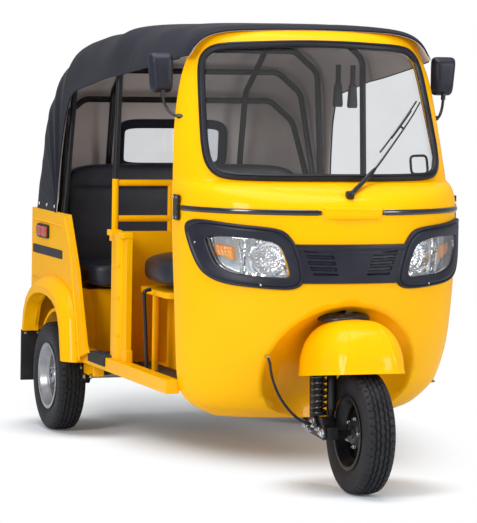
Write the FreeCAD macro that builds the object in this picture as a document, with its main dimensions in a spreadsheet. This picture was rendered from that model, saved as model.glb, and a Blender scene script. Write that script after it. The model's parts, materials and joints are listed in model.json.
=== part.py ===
import FreeCAD, Part
import math
import os
import re
import Sketcher

# A three-wheeled auto rickshaw, in millimetres.
# The front faces minus Y, plus X is the vehicle's left side, plus Z is up.
# The origin is on the ground, under the middle of the outside box.

os.makedirs("parts", exist_ok=True)
doc = FreeCAD.newDocument("AutoRickshaw")
sheet = doc.addObject("Spreadsheet::Sheet", "Sizes")

# Driving sizes: name, value, what it measures.
SIZES = [
    ("front_axle_y", -1080, "front axle from the middle of the vehicle"),
    ("rear_axle_y", 905, "rear axle from the middle of the vehicle"),
    ("rear_wheel_x", 584, "middle of a rear tyre from the centre plane"),
    ("tyre_radius", 228, "outer radius of every tyre"),
    ("tyre_half_width", 58, "half the tyre's section width"),
    ("bead_radius", 128, "radius where the tyre sits on its rim"),
    ("flange_radius", 138, "outer radius of the rim flange"),
    ("rim_half_width", 48, "half the width between the rim flanges"),
    ("tyre_wall", 11, "thickness of the tyre's wall"),
    ("rim_sheet", 5, "thickness of the rim's sheet"),
    ("hub_radius", 62, "radius of a rear brake drum"),
    ("front_hub_radius", 48, "radius of the front hub"),
    ("axle_radius", 11, "radius of the front axle"),
    ("rake_angle", 22, "lean of the steering axis from upright"),
    ("steer_ground_y", -1135, "where the steering axis meets the ground"),
    ("column_radius", 17, "radius of the steering column"),
    ("head_tube_radius", 30, "outer radius of the head tube"),
    ("head_tube_low", 700, "height of the head tube's lower end"),
    ("head_tube_high", 850, "height of the head tube's upper end"),
    ("column_top", 970, "height of the steering column's top"),
    ("bar_half_width", 250, "half the handlebar's width"),
    ("bar_radius", 12, "radius of the handlebar's tube"),
    ("cowl_skin", 18, "thickness of the cowl's wall"),
    ("cowl_foot", 240, "height of the cowl's lower edge"),
    ("shelf_low", 1040, "height where the cowl turns back under the windshield"),
    ("shelf_high", 1128, "height of the windshield's lower edge"),
    ("cowl_top", 1706, "height of the yellow visor's top"),
    ("recess_side", 408, "half width of the wheel recess"),
    ("recess_depth", 440, "half length of the wheel recess"),
    ("recess_height", 365, "half height of the wheel recess"),
    ("recess_y", -1130, "centre of the wheel recess, lengthwise"),
    ("recess_z", 345, "centre of the wheel recess, height"),
    ("pane_low_half", 462, "half width of the windshield opening at its foot"),
    ("pane_high_half", 434, "half width of the windshield opening at its top"),
    ("pane_low", 1146, "height of the windshield opening's foot"),
    ("pane_high", 1622, "height of the windshield opening's top"),
    ("pane_crown", 18, "rise of the windshield's top edge at the middle"),
    ("pane_corner", 70, "corner radius of the windshield opening"),
    ("seal_width", 22, "width of the black gasket round the windshield"),
    ("strip_height", 21, "height of the black trim strip"),
    ("strip_z", 1038, "height of the trim strip's upper edge"),
    ("strip_gap_half", 122, "half the gap between the two strips"),
    ("bezel_depth", 12, "how far the lamp surrounds stand off the cowl"),
    ("lens_depth", 7, "how far the lamp glass stands off the cowl"),
    ("lamp_depth", 44, "how deep the lamps reach behind the cowl's outside"),
    ("pad_depth", 4, "how far the blank pad between the strips stands off the cowl"),
    ("slat_gap", 12, "height of each opening between the grille's slats"),
    ("slat_pitch", 22, "height from one opening in the grille to the next"),
    ("floor_z", 350, "height of the floor's upper face"),
    ("floor_sheet", 16, "thickness of the floor"),
    ("floor_back", 660, "rear end of the flat floor"),
    ("sill_out", 590, "outer face of the right sill from the centre plane"),
    ("sill_in", 535, "inner face of both sills from the centre plane"),
    ("sill_low", 322, "height of the right sill's lower face"),
    ("sill_high", 376, "height of the sills' upper face"),
    ("jamb_y", -575, "rear edge of the cowl at the doors"),
    ("post_front_y", 40, "front edge of the door post"),
    ("post_back_y", 250, "rear edge of the door post"),
    ("post_top", 880, "height of the door post's pressed part"),
    ("tube_radius", 13, "radius of the frame tubes"),
    ("hoop_y", 290, "middle hoop of the hood, lengthwise"),
    ("belt_z", 920, "height of the body's belt line"),
    ("body_side_x", 612, "body side at the belt line"),
    ("body_back_y", 1262, "rear face of the body"),
    ("body_sheet", 14, "thickness of the rear body's walls"),
    ("arch_radius", 290, "radius of the wheel arch opening"),
    ("arch_flare", 52, "how far the arch lip stands off the body side"),
    ("seat_half", 480, "half width of the driver's bench"),
    ("bench_half", 545, "half width of the passenger bench"),
    ("bench_front_y", 560, "front edge of the passenger cushion"),
    ("bench_top", 735, "top of the passenger cushion"),
    ("backrest_top", 1123, "top of the passenger backrest"),
    ("backrest_y", 985, "front face of the passenger backrest at its foot"),
    ("hood_skin", 12, "thickness of the hood's cloth and lining"),
    ("hood_pivot_y", 880, "where the hood's rear sections fan out from, lengthwise"),
    ("guard_half_width", 166, "half width of the front mudguard"),
    ("guard_half_length", 227, "half length of the front mudguard"),
    ("guard_y", -979, "middle of the front mudguard's lower edge, lengthwise"),
    ("guard_foot", 429, "height of the middle of the front mudguard's lower edge"),
    ("guard_rise", 204, "height of the front mudguard's dome"),
    ("guard_tilt", 7, "how far the front mudguard's nose is tipped up, in degrees"),
    ("guard_sheet", 5, "thickness of the front mudguard"),
    ("leg_x", 118, "front fork leg from the centre plane"),
    ("shaft_radius", 15, "radius of a rear drive shaft"),
    ("running_gap", 0.05, "clearance of a shaft in its bore"),
    ("crown_z", 552, "height of the fork crown on the steering axis"),
    ("spring_foot", 280, "height of the front spring's lower seat"),
    ("spring_top", 508, "height of the front spring's upper seat"),
    ("spring_radius", 31, "outer radius of the front spring"),
    ("rail_x", 250, "frame rail from the centre plane"),
    ("rail_front", -570, "front end of the frame rails"),
    ("rail_back", 1230, "rear end of the frame rails"),
    ("rail_width", 50, "width of a frame rail"),
    ("rail_height", 60, "height of a frame rail"),
    ("tie_width", 50, "width of a cross tie"),
    ("engine_y", 850, "front face of the engine"),
    ("engine_long", 320, "length of the engine"),
    ("floor_left", 470, "floor's edge behind the cowl's left side"),
    ("sill_left_width", 20, "width of the left sill"),
    ("bench_foot", 614, "height of the passenger cushion's underside"),
    ("bow_foot", 1090, "height where the middle hoop meets the door post"),
    ("lid_half", 370, "half width of the rear lid"),
    ("lid_low", 420, "height of the rear lid's lower edge"),
    ("lid_high", 702, "height of the rear lid's upper edge"),
    ("housing_radius", 270, "inner radius of a rear wheel's housing"),
    ("housing_sheet", 14, "thickness of a rear wheel's housing"),
    ("housing_x", 506, "inner side of a rear wheel's housing from the centre plane"),
    ("damper_radius", 12, "radius of the front damper"),
    ("bumper_radius", 18, "radius of the rear bumper's bar"),
    ("bumper_half", 430, "half the rear bumper's length"),
    ("vehicle_back", 1323, "rear end of the whole vehicle"),
    ("hose_radius", 5, "radius of the brake hose"),
]
NAMES = {row[0] for row in SIZES}
for index, (alias, value, note) in enumerate(SIZES, start=1):
    sheet.set("A%d" % index, note)
    sheet.set("B%d" % index, str(value))
    sheet.setAlias("B%d" % index, alias)
doc.recompute()

pieces = {}


def linked(text):
    """Name the sheet in front of each size used in an expression."""
    return re.sub(r"[a-z]+(?:_[a-z]+)*", lambda word: "Sizes." + word.group(0) if word.group(0) in NAMES
                  else word.group(0), str(text))


def number(text):
    """Value of an expression with the sheet's present sizes."""
    return float(sheet.evalExpression(linked(text)))


def spot(place):
    """Point with the given expressions as coordinates."""
    return FreeCAD.Vector(*[number(part) for part in place])


def bind(thing, prop, text):
    """Tie a property to an expression of the sheet's sizes."""
    thing.setExpression(prop, linked(text))


def put(thing, place):
    """Tie an object's position to three expressions."""
    for axis, text in zip("xyz", place):
        bind(thing, "Placement.Base." + axis, text)


def piece(thing, label):
    """Keep an object as a finished sub-part under its own name."""
    thing.Label = label
    pieces[label] = thing
    return thing


def box(name, size, place):
    """Plain block with its lowest corner at the given place."""
    block = doc.addObject("Part::Box", name)
    for prop, text in zip(("Length", "Width", "Height"), size):
        bind(block, prop, text)
    put(block, place)
    return block


TURNS = {
    "X": (FreeCAD.Vector(0, 1, 0), 90),
    "Y": (FreeCAD.Vector(1, 0, 0), -90),
    "Z": (FreeCAD.Vector(0, 0, 1), 0),
}


def cylinder(name, radius, length, place, axis="Z"):
    """Round bar that starts at the given place and runs along one axis."""
    bar = doc.addObject("Part::Cylinder", name)
    bind(bar, "Radius", radius)
    bind(bar, "Height", length)
    bar.Placement.Rotation = FreeCAD.Rotation(*TURNS[axis])
    put(bar, place)
    return bar


def raked(name, radius, low, high):
    """Round bar on the steering axis between two heights."""
    bar = doc.addObject("Part::Cylinder", name)
    bind(bar, "Radius", radius)
    bind(bar, "Height", "((%s) - (%s)) / cos(rake_angle)" % (high, low))
    bar.Placement.Rotation = FreeCAD.Rotation(FreeCAD.Vector(1, 0, 0), -1)
    bind(bar, "Placement.Rotation.Angle", "-rake_angle")
    put(bar, ("0", steer_y(low), low))
    return bar


def steer_y(height):
    """Lengthwise place of the steering axis at a height, as an expression."""
    return "steer_ground_y + (%s) * tan(rake_angle)" % height


def ellipsoid(name, half_x, half_y, half_z, place):
    """Full ellipsoid round the given centre."""
    ball = doc.addObject("Part::Ellipsoid", name)
    bind(ball, "Radius1", half_z)
    bind(ball, "Radius2", half_x)
    bind(ball, "Radius3", half_y)
    ball.Angle1 = -90
    ball.Angle2 = 90
    put(ball, place)
    return ball


def outline(body, plane, corners, offset="0"):
    """Closed polygon sketch whose every corner is tied to expressions."""
    sketch = body.newObject("Sketcher::SketchObject", body.Name + "Outline")
    support = [part for part in body.Origin.OriginFeatures if part.Role == plane + "_Plane"][0]
    sketch.AttachmentSupport = [(support, "")]
    sketch.MapMode = "FlatFace"
    bind(sketch, "AttachmentOffset.Base.z", offset)
    dots = [FreeCAD.Vector(number(first), number(second), 0) for first, second in corners]
    count = len(dots)
    for index in range(count):
        sketch.addGeometry(Part.LineSegment(dots[index], dots[(index + 1) % count]), False)
    for index in range(count):
        sketch.addConstraint(Sketcher.Constraint("Coincident", index, 2, (index + 1) % count, 1))
    for index, corner in enumerate(corners):
        for kind, text, value in (("DistanceX", corner[0], dots[index].x), ("DistanceY", corner[1], dots[index].y)):
            made = sketch.addConstraint(Sketcher.Constraint(kind, -1, 1, index, 1, value))
            bind(sketch, "Constraints[%d]" % made, text)
    return sketch


def prism(name, plane, corners, start, length):
    """Solid pulled from a polygon along the plane's normal, from one level on."""
    body = doc.addObject("PartDesign::Body", name)
    sign = "-1" if plane == "XZ" else "1"
    sketch = outline(body, plane, corners, "%s * (%s)" % (sign, start))
    pad = body.newObject("PartDesign::Pad", name + "Pad")
    pad.Profile = sketch
    bind(pad, "Length", length)
    pad.Reversed = plane == "XZ"
    body.Tip = pad
    return body


def turned(name, corners, place):
    """Ring or disc turned about a crosswise axis from a polygon of width and radius."""
    body = doc.addObject("PartDesign::Body", name)
    sketch = outline(body, "XY", corners)
    spin = body.newObject("PartDesign::Revolution", name + "Turn")
    spin.Profile = sketch
    spin.ReferenceAxis = (sketch, ["H_Axis"])
    spin.Angle = 360
    body.Tip = spin
    put(body, place)
    return body


def joined(name, things):
    """Several objects fused to one."""
    whole = doc.addObject("Part::MultiFuse", name)
    whole.Shapes = things
    whole.Refine = True
    return whole


def shared(name, things):
    """The space that all the given objects share."""
    rest = doc.addObject("Part::MultiCommon", name)
    rest.Shapes = things
    return rest


def less(name, base, tool):
    """One object with another taken away."""
    rest = doc.addObject("Part::Cut", name)
    rest.Base = base
    rest.Tool = tool
    return rest


def mirrored(name, source):
    """The same object on the other side of the centre plane."""
    twin = doc.addObject("Part::Mirroring", name)
    twin.Source = source
    twin.Normal = FreeCAD.Vector(1, 0, 0)
    return twin


def together(name, things):
    """Separate solids of one kind kept as one object."""
    group = doc.addObject("Part::Compound", name)
    group.Links = things
    return group


def both(name, thing):
    """A solid and its twin on the other side, kept as one object."""
    return together(name, [thing, mirrored(name + "Twin", thing)])


def held(name, shape):
    """Object that keeps a shape made directly."""
    thing = doc.addObject("Part::Feature", name)
    thing.Shape = shape
    return thing


def path(points, bend):
    """Wire through points, each inner corner rounded to the bend radius."""
    edges = []
    last = points[0]
    for index in range(1, len(points) - 1):
        corner = points[index]
        back = (points[index - 1] - corner).normalize()
        ahead = (points[index + 1] - corner).normalize()
        half = back.getAngle(ahead) / 2
        cut = bend / math.tan(half)
        start = corner + back * cut
        end = corner + ahead * cut
        middle = corner + (back + ahead).normalize() * (bend / math.sin(half) - bend)
        edges.append(Part.makeLine(last, start))
        edges.append(Part.Arc(start, middle, end).toShape())
        last = end
    edges.append(Part.makeLine(last, points[-1]))
    return Part.Wire(edges)


def tube(name, radius, places, bend="40"):
    """Bent round tube through the given places."""
    points = [spot(place) for place in places]
    spine = path(points, number(bend))
    ring = Part.Wire(Part.makeCircle(number(radius), points[0], points[1] - points[0]))
    shape = spine.makePipeShell([ring], True, False)
    return held(name, shape)


# The cowl's level sections in three zones, foot to shelf, shelf, and windshield to visor.
# Each row: height above the zone's foot, half width right, half width left, front y, centre y, corner power.
LOW_ZONE = (
    (0, 405, 300, -720, -560, 2.0),
    (22, 455, 360, -775, -560, 2.0),
    (50, 500, 410, -820, -560, 2.05),
    (90, 533, 455, -855, -560, 2.1),
    (140, 546, 492, -885, -560, 2.1),
    (200, 550, 512, -908, -560, 2.1),
    (280, 551, 530, -935, -560, 2.1),
    (380, 552, 540, -955, -560, 2.1),
    (500, 553, 548, -966, -560, 2.1),
    (620, 554, 553, -968, -560, 2.1),
    (720, 554, 554, -967, -560, 2.1),
    (800, 554, 554, -963, -560, 2.1),
)
SHELF_ZONE = (
    (0, 554, 554, -963, -560, 2.1),
    (22, 554, 554, -948, -540, 2.2),
    (48, 554, 554, -918, -510, 2.35),
    (70, 553, 553, -868, -470, 2.6),
    (88, 553, 553, -790, -420, 2.9),
)
HIGH_ZONE = (
    (0, 553, 553, -772, -420, 2.9),
    (117, 551, 551, -725, -400, 2.65),
    (252, 546, 546, -670, -370, 2.45),
    (392, 536, 536, -612, -335, 2.3),
    (492, 521, 521, -571, -305, 2.2),
    (530, 511, 511, -548, -300, 2.2),
    (560, 492, 492, -512, -300, 2.2),
    (578, 450, 450, -465, -300, 2.2),
)
SECTION_STEPS = 20


def slopes(marks, values):
    """Slopes at the marks that let a cubic pass through the values without overshoot."""
    gaps = [after - before for before, after in zip(marks, marks[1:])]
    rises = [(after - before) / gap for before, after, gap in zip(values, values[1:], gaps)]
    middle = [0 if one * two <= 0 else 2 * one * two / (one + two) for one, two in zip(rises, rises[1:])]
    return [rises[0]] + middle + [rises[-1]]


def eased(rows, mark):
    """Row of a table at any mark between its first and last, smoothly blended."""
    marks = [row[0] for row in rows]
    index = max(0, min(len(marks) - 2, sum(1 for known in marks if known < mark) - 1))
    gap = marks[index + 1] - marks[index]
    part = (mark - marks[index]) / gap
    blended = []
    for column in range(1, len(rows[0])):
        values = [row[column] for row in rows]
        slope = slopes(marks, values)
        low, high = values[index], values[index + 1]
        curve = (2 * part ** 3 - 3 * part ** 2 + 1) * low + (3 * part ** 2 - 2 * part ** 3) * high
        lean = (part ** 3 - 2 * part ** 2 + part) * slope[index] + (part ** 3 - part ** 2) * slope[index + 1]
        blended.append(curve + lean * gap)
    return blended


def level_wire(height, row, grow, rear):
    """Closed level section: a rounded front joined to straight sides and a straight rear."""
    right, left, front, centre, power = row
    right = right + grow
    left = left + grow
    depth = centre - front + grow
    dots = []
    for step in range(SECTION_STEPS + 1):
        angle = math.pi * step / SECTION_STEPS
        across = math.cos(angle)
        ahead = math.sin(angle)
        reach = left if across > 0 else right
        x = math.copysign(abs(across) ** (2 / power), across) * reach
        y = centre - depth * ahead ** (2 / power)
        dots.append(FreeCAD.Vector(x, y, height))
    curve = Part.BSplineCurve()
    curve.interpolate(dots)
    corner_left = FreeCAD.Vector(left, rear, height)
    corner_right = FreeCAD.Vector(-right, rear, height)
    lines = [Part.makeLine(dots[-1], corner_right), Part.makeLine(corner_right, corner_left),
             Part.makeLine(corner_left, dots[0])]
    return Part.Wire([curve.toShape()] + lines)


def zone_solid(rows, foot, top, steps, power, grow, rear):
    """One zone of the cowl as a smooth solid; power above 1 crowds the levels at the foot, below 0 at the top."""
    tall = rows[-1][0]
    wires = []
    for step in range(steps + 1):
        part = step / steps
        part = part ** power if power > 0 else 1 - (1 - part) ** -power
        wires.append(level_wire(foot + (top - foot) * part, eased(rows, tall * part), grow, rear))
    return Part.makeLoft(wires, True, False, False, 3)


def low_solid(name, grow, rear=100):
    """The cowl below its shelf as one solid, grown or shrunk by a distance."""
    return held(name, zone_solid(LOW_ZONE, number("cowl_foot"), number("shelf_low"), 14, 1.7, grow, rear))


def shelf_solid(name, grow, rear=100):
    """The cowl's shelf under the windshield, grown or shrunk by a distance."""
    return held(name, zone_solid(SHELF_ZONE, number("shelf_low"), number("shelf_high"), 6, 1.0, grow, rear))


def high_solid(name, grow, rear=100):
    """The cowl round the windshield up to the visor, grown or shrunk by a distance."""
    top = number("cowl_top") + min(grow, 0)
    return held(name, zone_solid(HIGH_ZONE, number("shelf_high"), top, 14, -1.7, grow, rear))


def cowl_solid(name, grow, rear=100):
    """The cowl's outside as one solid, grown or shrunk by a distance."""
    return joined(name, [low_solid(name + "Low", grow, rear), shelf_solid(name + "Shelf", grow, rear),
                         high_solid(name + "High", grow, rear)])


def low_skin(name, inner, outer):
    """Layer over the lower cowl between two distances from its outside."""
    return less(name, low_solid(name + "Far", outer), low_solid(name + "Near", inner))


def recess(name, grow):
    """Dome that the front wheel turns in, grown by a distance."""
    return ellipsoid(name, "recess_side + %s" % grow, "recess_depth + %s" % grow, "recess_height + %s" % grow,
                     ("0", "recess_y", "recess_z"))


def cowl_room(name):
    """Free space inside the cowl, behind its wall and the recess."""
    return less(name, cowl_solid(name + "Inside", -number("cowl_skin"), 120), recess(name + "Dome", "cowl_skin"))


def front_cowl(room):
    """Yellow front body with door pillars, visor, wheel recess and windshield opening."""
    outer = cowl_solid("CowlOutside", 0)
    shell = less("CowlShell", less("CowlDomed", outer, recess("Recess", "0")), room)
    foot = box("CowlFootCut", ("1300", "1100", "cowl_skin"), ("-650", "-1000", "cowl_foot - cowl_skin"))
    jamb = prism("CowlJamb", "YZ", (
        ("-600", "100"), ("jamb_y - 5", "sill_high"), ("jamb_y + 14", "563"), ("jamb_y + 38", "750"),
        ("-512", "937"), ("-504", "1088"), ("-492", "1200"), ("-468", "1351"), ("-441", "1577"),
        ("-419", "1648"), ("-400", "1800"), ("400", "1800"), ("400", "100")), "-700", "1400")
    open_rear = less("CowlOpenRear", shell, joined("CowlCuts", [jamb, foot]))
    pane = windshield_prism("CowlPane", "0", "-1300", "1000")
    column = raked("CowlColumnHole", "head_tube_radius + 12", "560", "900")
    glazed = less("CowlGlazed", open_rear, together("CowlHoles", [pane, column, lamp_blocks("CowlLamps")]))
    return piece(joined("CowlWhole", [glazed, blank_pad()]), "front_cowl")


def blank_pad():
    """Raised blank pad between the trim strips."""
    face = prism("PadFace", "XZ", (
        ("-109", "1006"), ("-strip_gap_half + 4", "strip_z"), ("strip_gap_half - 4", "strip_z"), ("109", "1006")),
        "-1100", "300")
    return shared("PadWhole", [low_skin("PadSkin", -2, number("pad_depth")), face])


def windshield_corners(grow):
    """Outline of the windshield with chamfered corners, grown by a distance."""
    low = "pane_low - (%s)" % grow
    high = "pane_high + (%s)" % grow
    low_half = "(pane_low_half + (%s))" % grow
    high_half = "(pane_high_half + (%s))" % grow
    right = [("-%s + pane_corner" % low_half, low),
             ("-%s + pane_corner * 0.3" % low_half, low + " + pane_corner * 0.3"),
             ("-%s" % low_half, low + " + pane_corner"), ("-%s" % high_half, high + " - pane_corner"),
             ("-%s + pane_corner * 0.3" % high_half, high + " - pane_corner * 0.28"),
             ("-%s + pane_corner" % high_half, high + " + pane_crown * 0.1"),
             ("-%s / 2" % high_half, high + " + pane_crown * 0.8")]
    left = [("-1 * (%s)" % across, up) for across, up in reversed(right)]
    return right + [("0", high + " + pane_crown")] + left


def windshield_prism(name, grow, start, length):
    """Lengthwise prism with the windshield's outline."""
    return prism(name, "XZ", windshield_corners(grow), start, length)


def windshield():
    """Black gasket and the clear pane inside it."""
    band = joined("SealOutside", [shelf_solid("SealOutLow", 6), high_solid("SealOutHigh", 6)])
    under = joined("SealInside", [shelf_solid("SealInLow", -12), high_solid("SealInHigh", -12)])
    ring = less("SealBand", band, under)
    frame = less("SealFrame", windshield_prism("SealFar", "seal_width - 4", "-900", "600"),
                 windshield_prism("SealNear", "-8", "-901", "602"))
    gasket = less("SealWhole", shared("SealRing", [ring, frame]), pieces["front_cowl"])
    piece(gasket, "windshield_seal")
    skin = less("PaneSkin", high_solid("PaneOutside", -4), high_solid("PaneInside", -9))
    pane = shared("PaneWhole", [skin, windshield_prism("PaneFar", "-8", "-900", "600")])
    piece(pane, "windshield_glass")


def trim_strip(skin):
    """Black strip round the cowl, parted in the middle by the blank plate's place."""
    bar = box("StripBar", ("500", "396", "strip_height"), ("strip_gap_half", "-1000", "strip_z - strip_height"))
    piece(shared("StripPair", [skin, both("StripBars", bar)]), "trim_strip")


SURROUND = (
    (185, 765), (203, 750), (231, 742), (300, 744), (366, 749), (428, 755), (472, 768), (502, 791), (518, 822),
    (530, 865), (539, 912), (544, 954), (542, 980), (530, 991), (512, 993), (475, 989), (417, 981), (337, 975),
    (287, 970), (253, 959), (229, 934), (211, 902), (195, 846), (183, 791),
)
LENS = (
    (236, 791), (253, 785), (318, 788), (389, 793), (444, 808), (470, 832), (487, 880), (498, 923), (491, 933),
    (431, 935), (369, 931), (304, 920), (269, 904), (252, 868), (233, 809),
)
GRILLE = (
    (184, 779), (183, 791), (195, 846), (211, 902), (212, 906), (110, 907),
)
VENT = (
    (56, 795), (146, 795), (163, 825), (179, 870), (184, 890), (99, 883), (75, 866), (62, 812),
)


def front_lamps(skin):
    """Dark surrounds, the grille between them and the clear lamps."""
    outside = prism("SurroundOut", "XZ", SURROUND, "-1100", "490")
    inside = prism("SurroundIn", "XZ", LENS, "-1101", "492")
    rings = both("SurroundRings", less("SurroundRing", outside, inside))
    surrounds = piece(shared("SurroundPair", [skin, rings]), "lamp_surrounds")
    lamp = low_skin("LensSkin", -number("lamp_depth"), number("lens_depth"))
    piece(shared("LensPair", [lamp, lamp_blocks("LensBlocks")]), "headlamps")
    corners = GRILLE + tuple((-across, up) for across, up in reversed(GRILLE))
    panel = shared("GrilleWhole", [skin, prism("GrilleOut", "XZ", corners, "-1100", "300")])
    slots = [box("Slot%d" % index, ("700", "400", "slat_gap"), ("-350", "-1100", "799 + %d * slat_pitch" % index))
             for index in range(4)]
    vent = both("Vents", prism("Vent", "XZ", VENT, "-1100", "300"))
    vents = shared("GrilleSlots", [vent, joined("SlotRows", slots)])
    piece(less("GrilleOpen", panel, together("GrilleTools", [vents, surrounds])), "grille_panel")


def lamp_blocks(name):
    """Lengthwise prisms with the lamps' outline, one each side."""
    return both(name, prism(name + "One", "XZ", LENS, "-1100", "470"))


def wheel(name, label, across, drum):
    """Tyre and rim of one wheel, with the wheel's middle at the given place."""
    place = (across, "rear_axle_y" if label != "front" else "front_axle_y", "tyre_radius")
    tyre_label = label + "_tyre" if label == "front" else "rear_tyre_" + label
    rim_label = label + "_rim" if label == "front" else "rear_rim_" + label
    wide = "tyre_half_width"
    outer = [("rim_half_width", "bead_radius"), ("rim_half_width", "flange_radius"),
             (wide + " - 3", "bead_radius + 28"), (wide, "bead_radius + 50"),
             (wide + " - 2", "tyre_radius - 24"), (wide + " - 9", "tyre_radius - 9"), ("28", "tyre_radius - 1"),
             ("0", "tyre_radius")]
    outer += [("-1 * (%s)" % first, second) for first, second in reversed(outer[:-1])]
    inner = [("rim_half_width - tyre_wall", "bead_radius"), (wide + " - tyre_wall", "bead_radius + 34"),
             (wide + " - tyre_wall", "tyre_radius - 28"), ("30", "tyre_radius - tyre_wall - 5")]
    inner += [("-1 * (%s)" % first, second) for first, second in reversed(inner)]
    piece(turned(name + "Tyre", outer + inner[::-1], place), tyre_label)
    rim_outer = [("-rim_half_width - 5", "flange_radius"), ("-rim_half_width", "flange_radius"),
                 ("-rim_half_width", "bead_radius"), ("-28", "bead_radius"), ("-20", "bead_radius - 12"),
                 ("20", "bead_radius - 12"), ("28", "bead_radius"), ("rim_half_width", "bead_radius"),
                 ("rim_half_width", "flange_radius"), ("rim_half_width + 5", "flange_radius"),
                 ("rim_half_width + 5", "bead_radius - rim_sheet"), ("26", "bead_radius - rim_sheet"),
                 ("20", "bead_radius - 12 - rim_sheet"), ("-14", "bead_radius - 12 - rim_sheet"),
                 ("-6", drum), ("34", drum), ("34", "axle_radius"), ("-34", "axle_radius"), ("-34", "30"),
                 ("-14", "34"), ("-14", drum), ("-22", "bead_radius - 14 - rim_sheet"),
                 ("-28", "bead_radius - rim_sheet"), ("-rim_half_width - 5", "bead_radius - rim_sheet")]
    if label == "left":
        rim_outer = [("-1 * (%s)" % first, second) for first, second in reversed(rim_outer)]
    piece(turned(name + "Rim", rim_outer, place), rim_label)


def steering():
    """Column, bars, single fork leg, link, spring, damper and mudguard."""
    column = raked("ColumnBar", "column_radius", "crown_z", "column_top")
    clamp = box("ColumnClamp", ("70", "60", "36"), ("-35", "(%s) - 30" % steer_y("column_top"), "column_top - 30"))
    piece(joined("ColumnWhole", [column, clamp]), "steering_column")
    bar_y = steer_y("column_top")
    half = "bar_half_width"
    bar = tube("BarTube", "bar_radius", (
        ("-%s" % half, "(%s) + 95" % bar_y, "column_top + 22"), ("-130", "(%s) + 10" % bar_y, "column_top + 30"),
        ("-70", bar_y, "column_top + 6 + bar_radius"), ("70", bar_y, "column_top + 6 + bar_radius"),
        ("130", "(%s) + 10" % bar_y, "column_top + 30"), (half, "(%s) + 95" % bar_y, "column_top + 22")), "30")
    piece(bar, "handlebar")
    fork()
    spring()
    mudguard()


def fork():
    """Crown, single leg on the right of the wheel, link and axle."""
    crown = box("ForkCrown", ("leg_x + 50", "60", "34"), ("-leg_x - 20", "(%s) - 30" % steer_y("crown_z"),
                                                         "crown_z - 17"))
    leg = tube("ForkLeg", "18", (("-leg_x", steer_y("crown_z"), "crown_z"), ("-leg_x", "-905", "430"),
                                 ("-leg_x", "-915", "236")), "80")
    link = prism("ForkLink", "YZ", (("-1102", "206"), ("-1058", "200"), ("-900", "212"), ("-890", "236"),
                                    ("-900", "262"), ("-1000", "spring_foot"), ("-1040", "spring_foot"),
                                    ("-1058", "256"), ("-1102", "250")), "-leg_x - 20", "44")
    seat = box("SpringSeat", ("78", "130", "10"), ("-leg_x - 22", "-1010", "spring_top"))
    damper = cylinder("Damper", "damper_radius", "spring_top - 266", ("-leg_x + 39", "-985", "268"))
    lug = cylinder("DamperLug", "9", "32", ("-leg_x + 20", "-985", "262"), "X")
    axle = cylinder("ForkAxle", "axle_radius - running_gap", "leg_x + 34 + 44",
                    ("-leg_x - 34", "front_axle_y", "tyre_radius"), "X")
    whole = joined("ForkWhole", [crown, leg, link, seat, damper, lug, axle])
    return piece(less("ForkFit", whole, pieces["steering_column"]), "fork_arm")


def spring():
    """Coil spring and damper between the crown's seat and the link."""
    pitch = "(spring_top - spring_foot) / 9"
    corners = [("0", "0")]
    for index in range(9):
        corners.append(("spring_radius - 6", "%d * %s" % (index, pitch)))
        corners.append(("spring_radius", "(%d + 0.35) * %s" % (index, pitch)))
        corners.append(("spring_radius - 6", "(%d + 0.7) * %s" % (index, pitch)))
    corners.append(("spring_radius - 6", "9 * %s" % pitch))
    corners.append(("0", "9 * %s" % pitch))
    body = doc.addObject("PartDesign::Body", "SpringBody")
    sketch = outline(body, "XZ", corners)
    spin = body.newObject("PartDesign::Revolution", "SpringTurn")
    spin.Profile = sketch
    spin.ReferenceAxis = (sketch, ["V_Axis"])
    body.Tip = spin
    put(body, ("-leg_x - 4", "-968", "spring_foot"))
    return piece(body, "front_spring")


# The mudguard's levels: share of its height, of its half width and of its half length.
GUARD_LEVELS = (
    (0, 1.0, 1.0), (0.28, 0.99, 0.955), (0.56, 0.92, 0.845), (0.75, 0.8, 0.71), (0.888, 0.63, 0.535),
    (0.963, 0.44, 0.36), (1, 0.2, 0.17),
)
GUARD_STEPS = 8
GUARD_DOTS = 24


def guard_solid(name, shrink):
    """Dome of the front mudguard as one solid, shrunk by a distance."""
    wires = []
    tilt = math.radians(number("guard_tilt"))
    for step in range(GUARD_STEPS + 1):
        mark = 1 - (1 - step / GUARD_STEPS) ** 1.6
        wide, long = eased(GUARD_LEVELS, mark)
        half_x = number("guard_half_width") * wide - shrink
        half_y = number("guard_half_length") * long - shrink
        rise = mark * (number("guard_rise") - shrink)
        dots = []
        for turn in range(GUARD_DOTS):
            angle = 2 * math.pi * turn / GUARD_DOTS
            across = half_x * math.copysign(abs(math.cos(angle)) ** 0.62, math.cos(angle))
            along = half_y * math.copysign(abs(math.sin(angle)) ** 0.62, math.sin(angle))
            dots.append(FreeCAD.Vector(
                across, number("guard_y") + along * math.cos(tilt) + rise * math.sin(tilt),
                number("guard_foot") - along * math.sin(tilt) + rise * math.cos(tilt)))
        curve = Part.BSplineCurve()
        curve.interpolate(dots, PeriodicFlag=True)
        wires.append(Part.Wire([curve.toShape()]))
    return held(name, Part.makeLoft(wires, True, False, False, 3))


def mudguard():
    """Yellow half dome over the front tyre."""
    shell = less("GuardShell", guard_solid("GuardOut", 0), guard_solid("GuardIn", number("guard_sheet")))
    tools = together("GuardTools", [pieces["fork_arm"], pieces["steering_column"]])
    return piece(less("GuardWhole", shell, tools), "front_mudguard")


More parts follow.
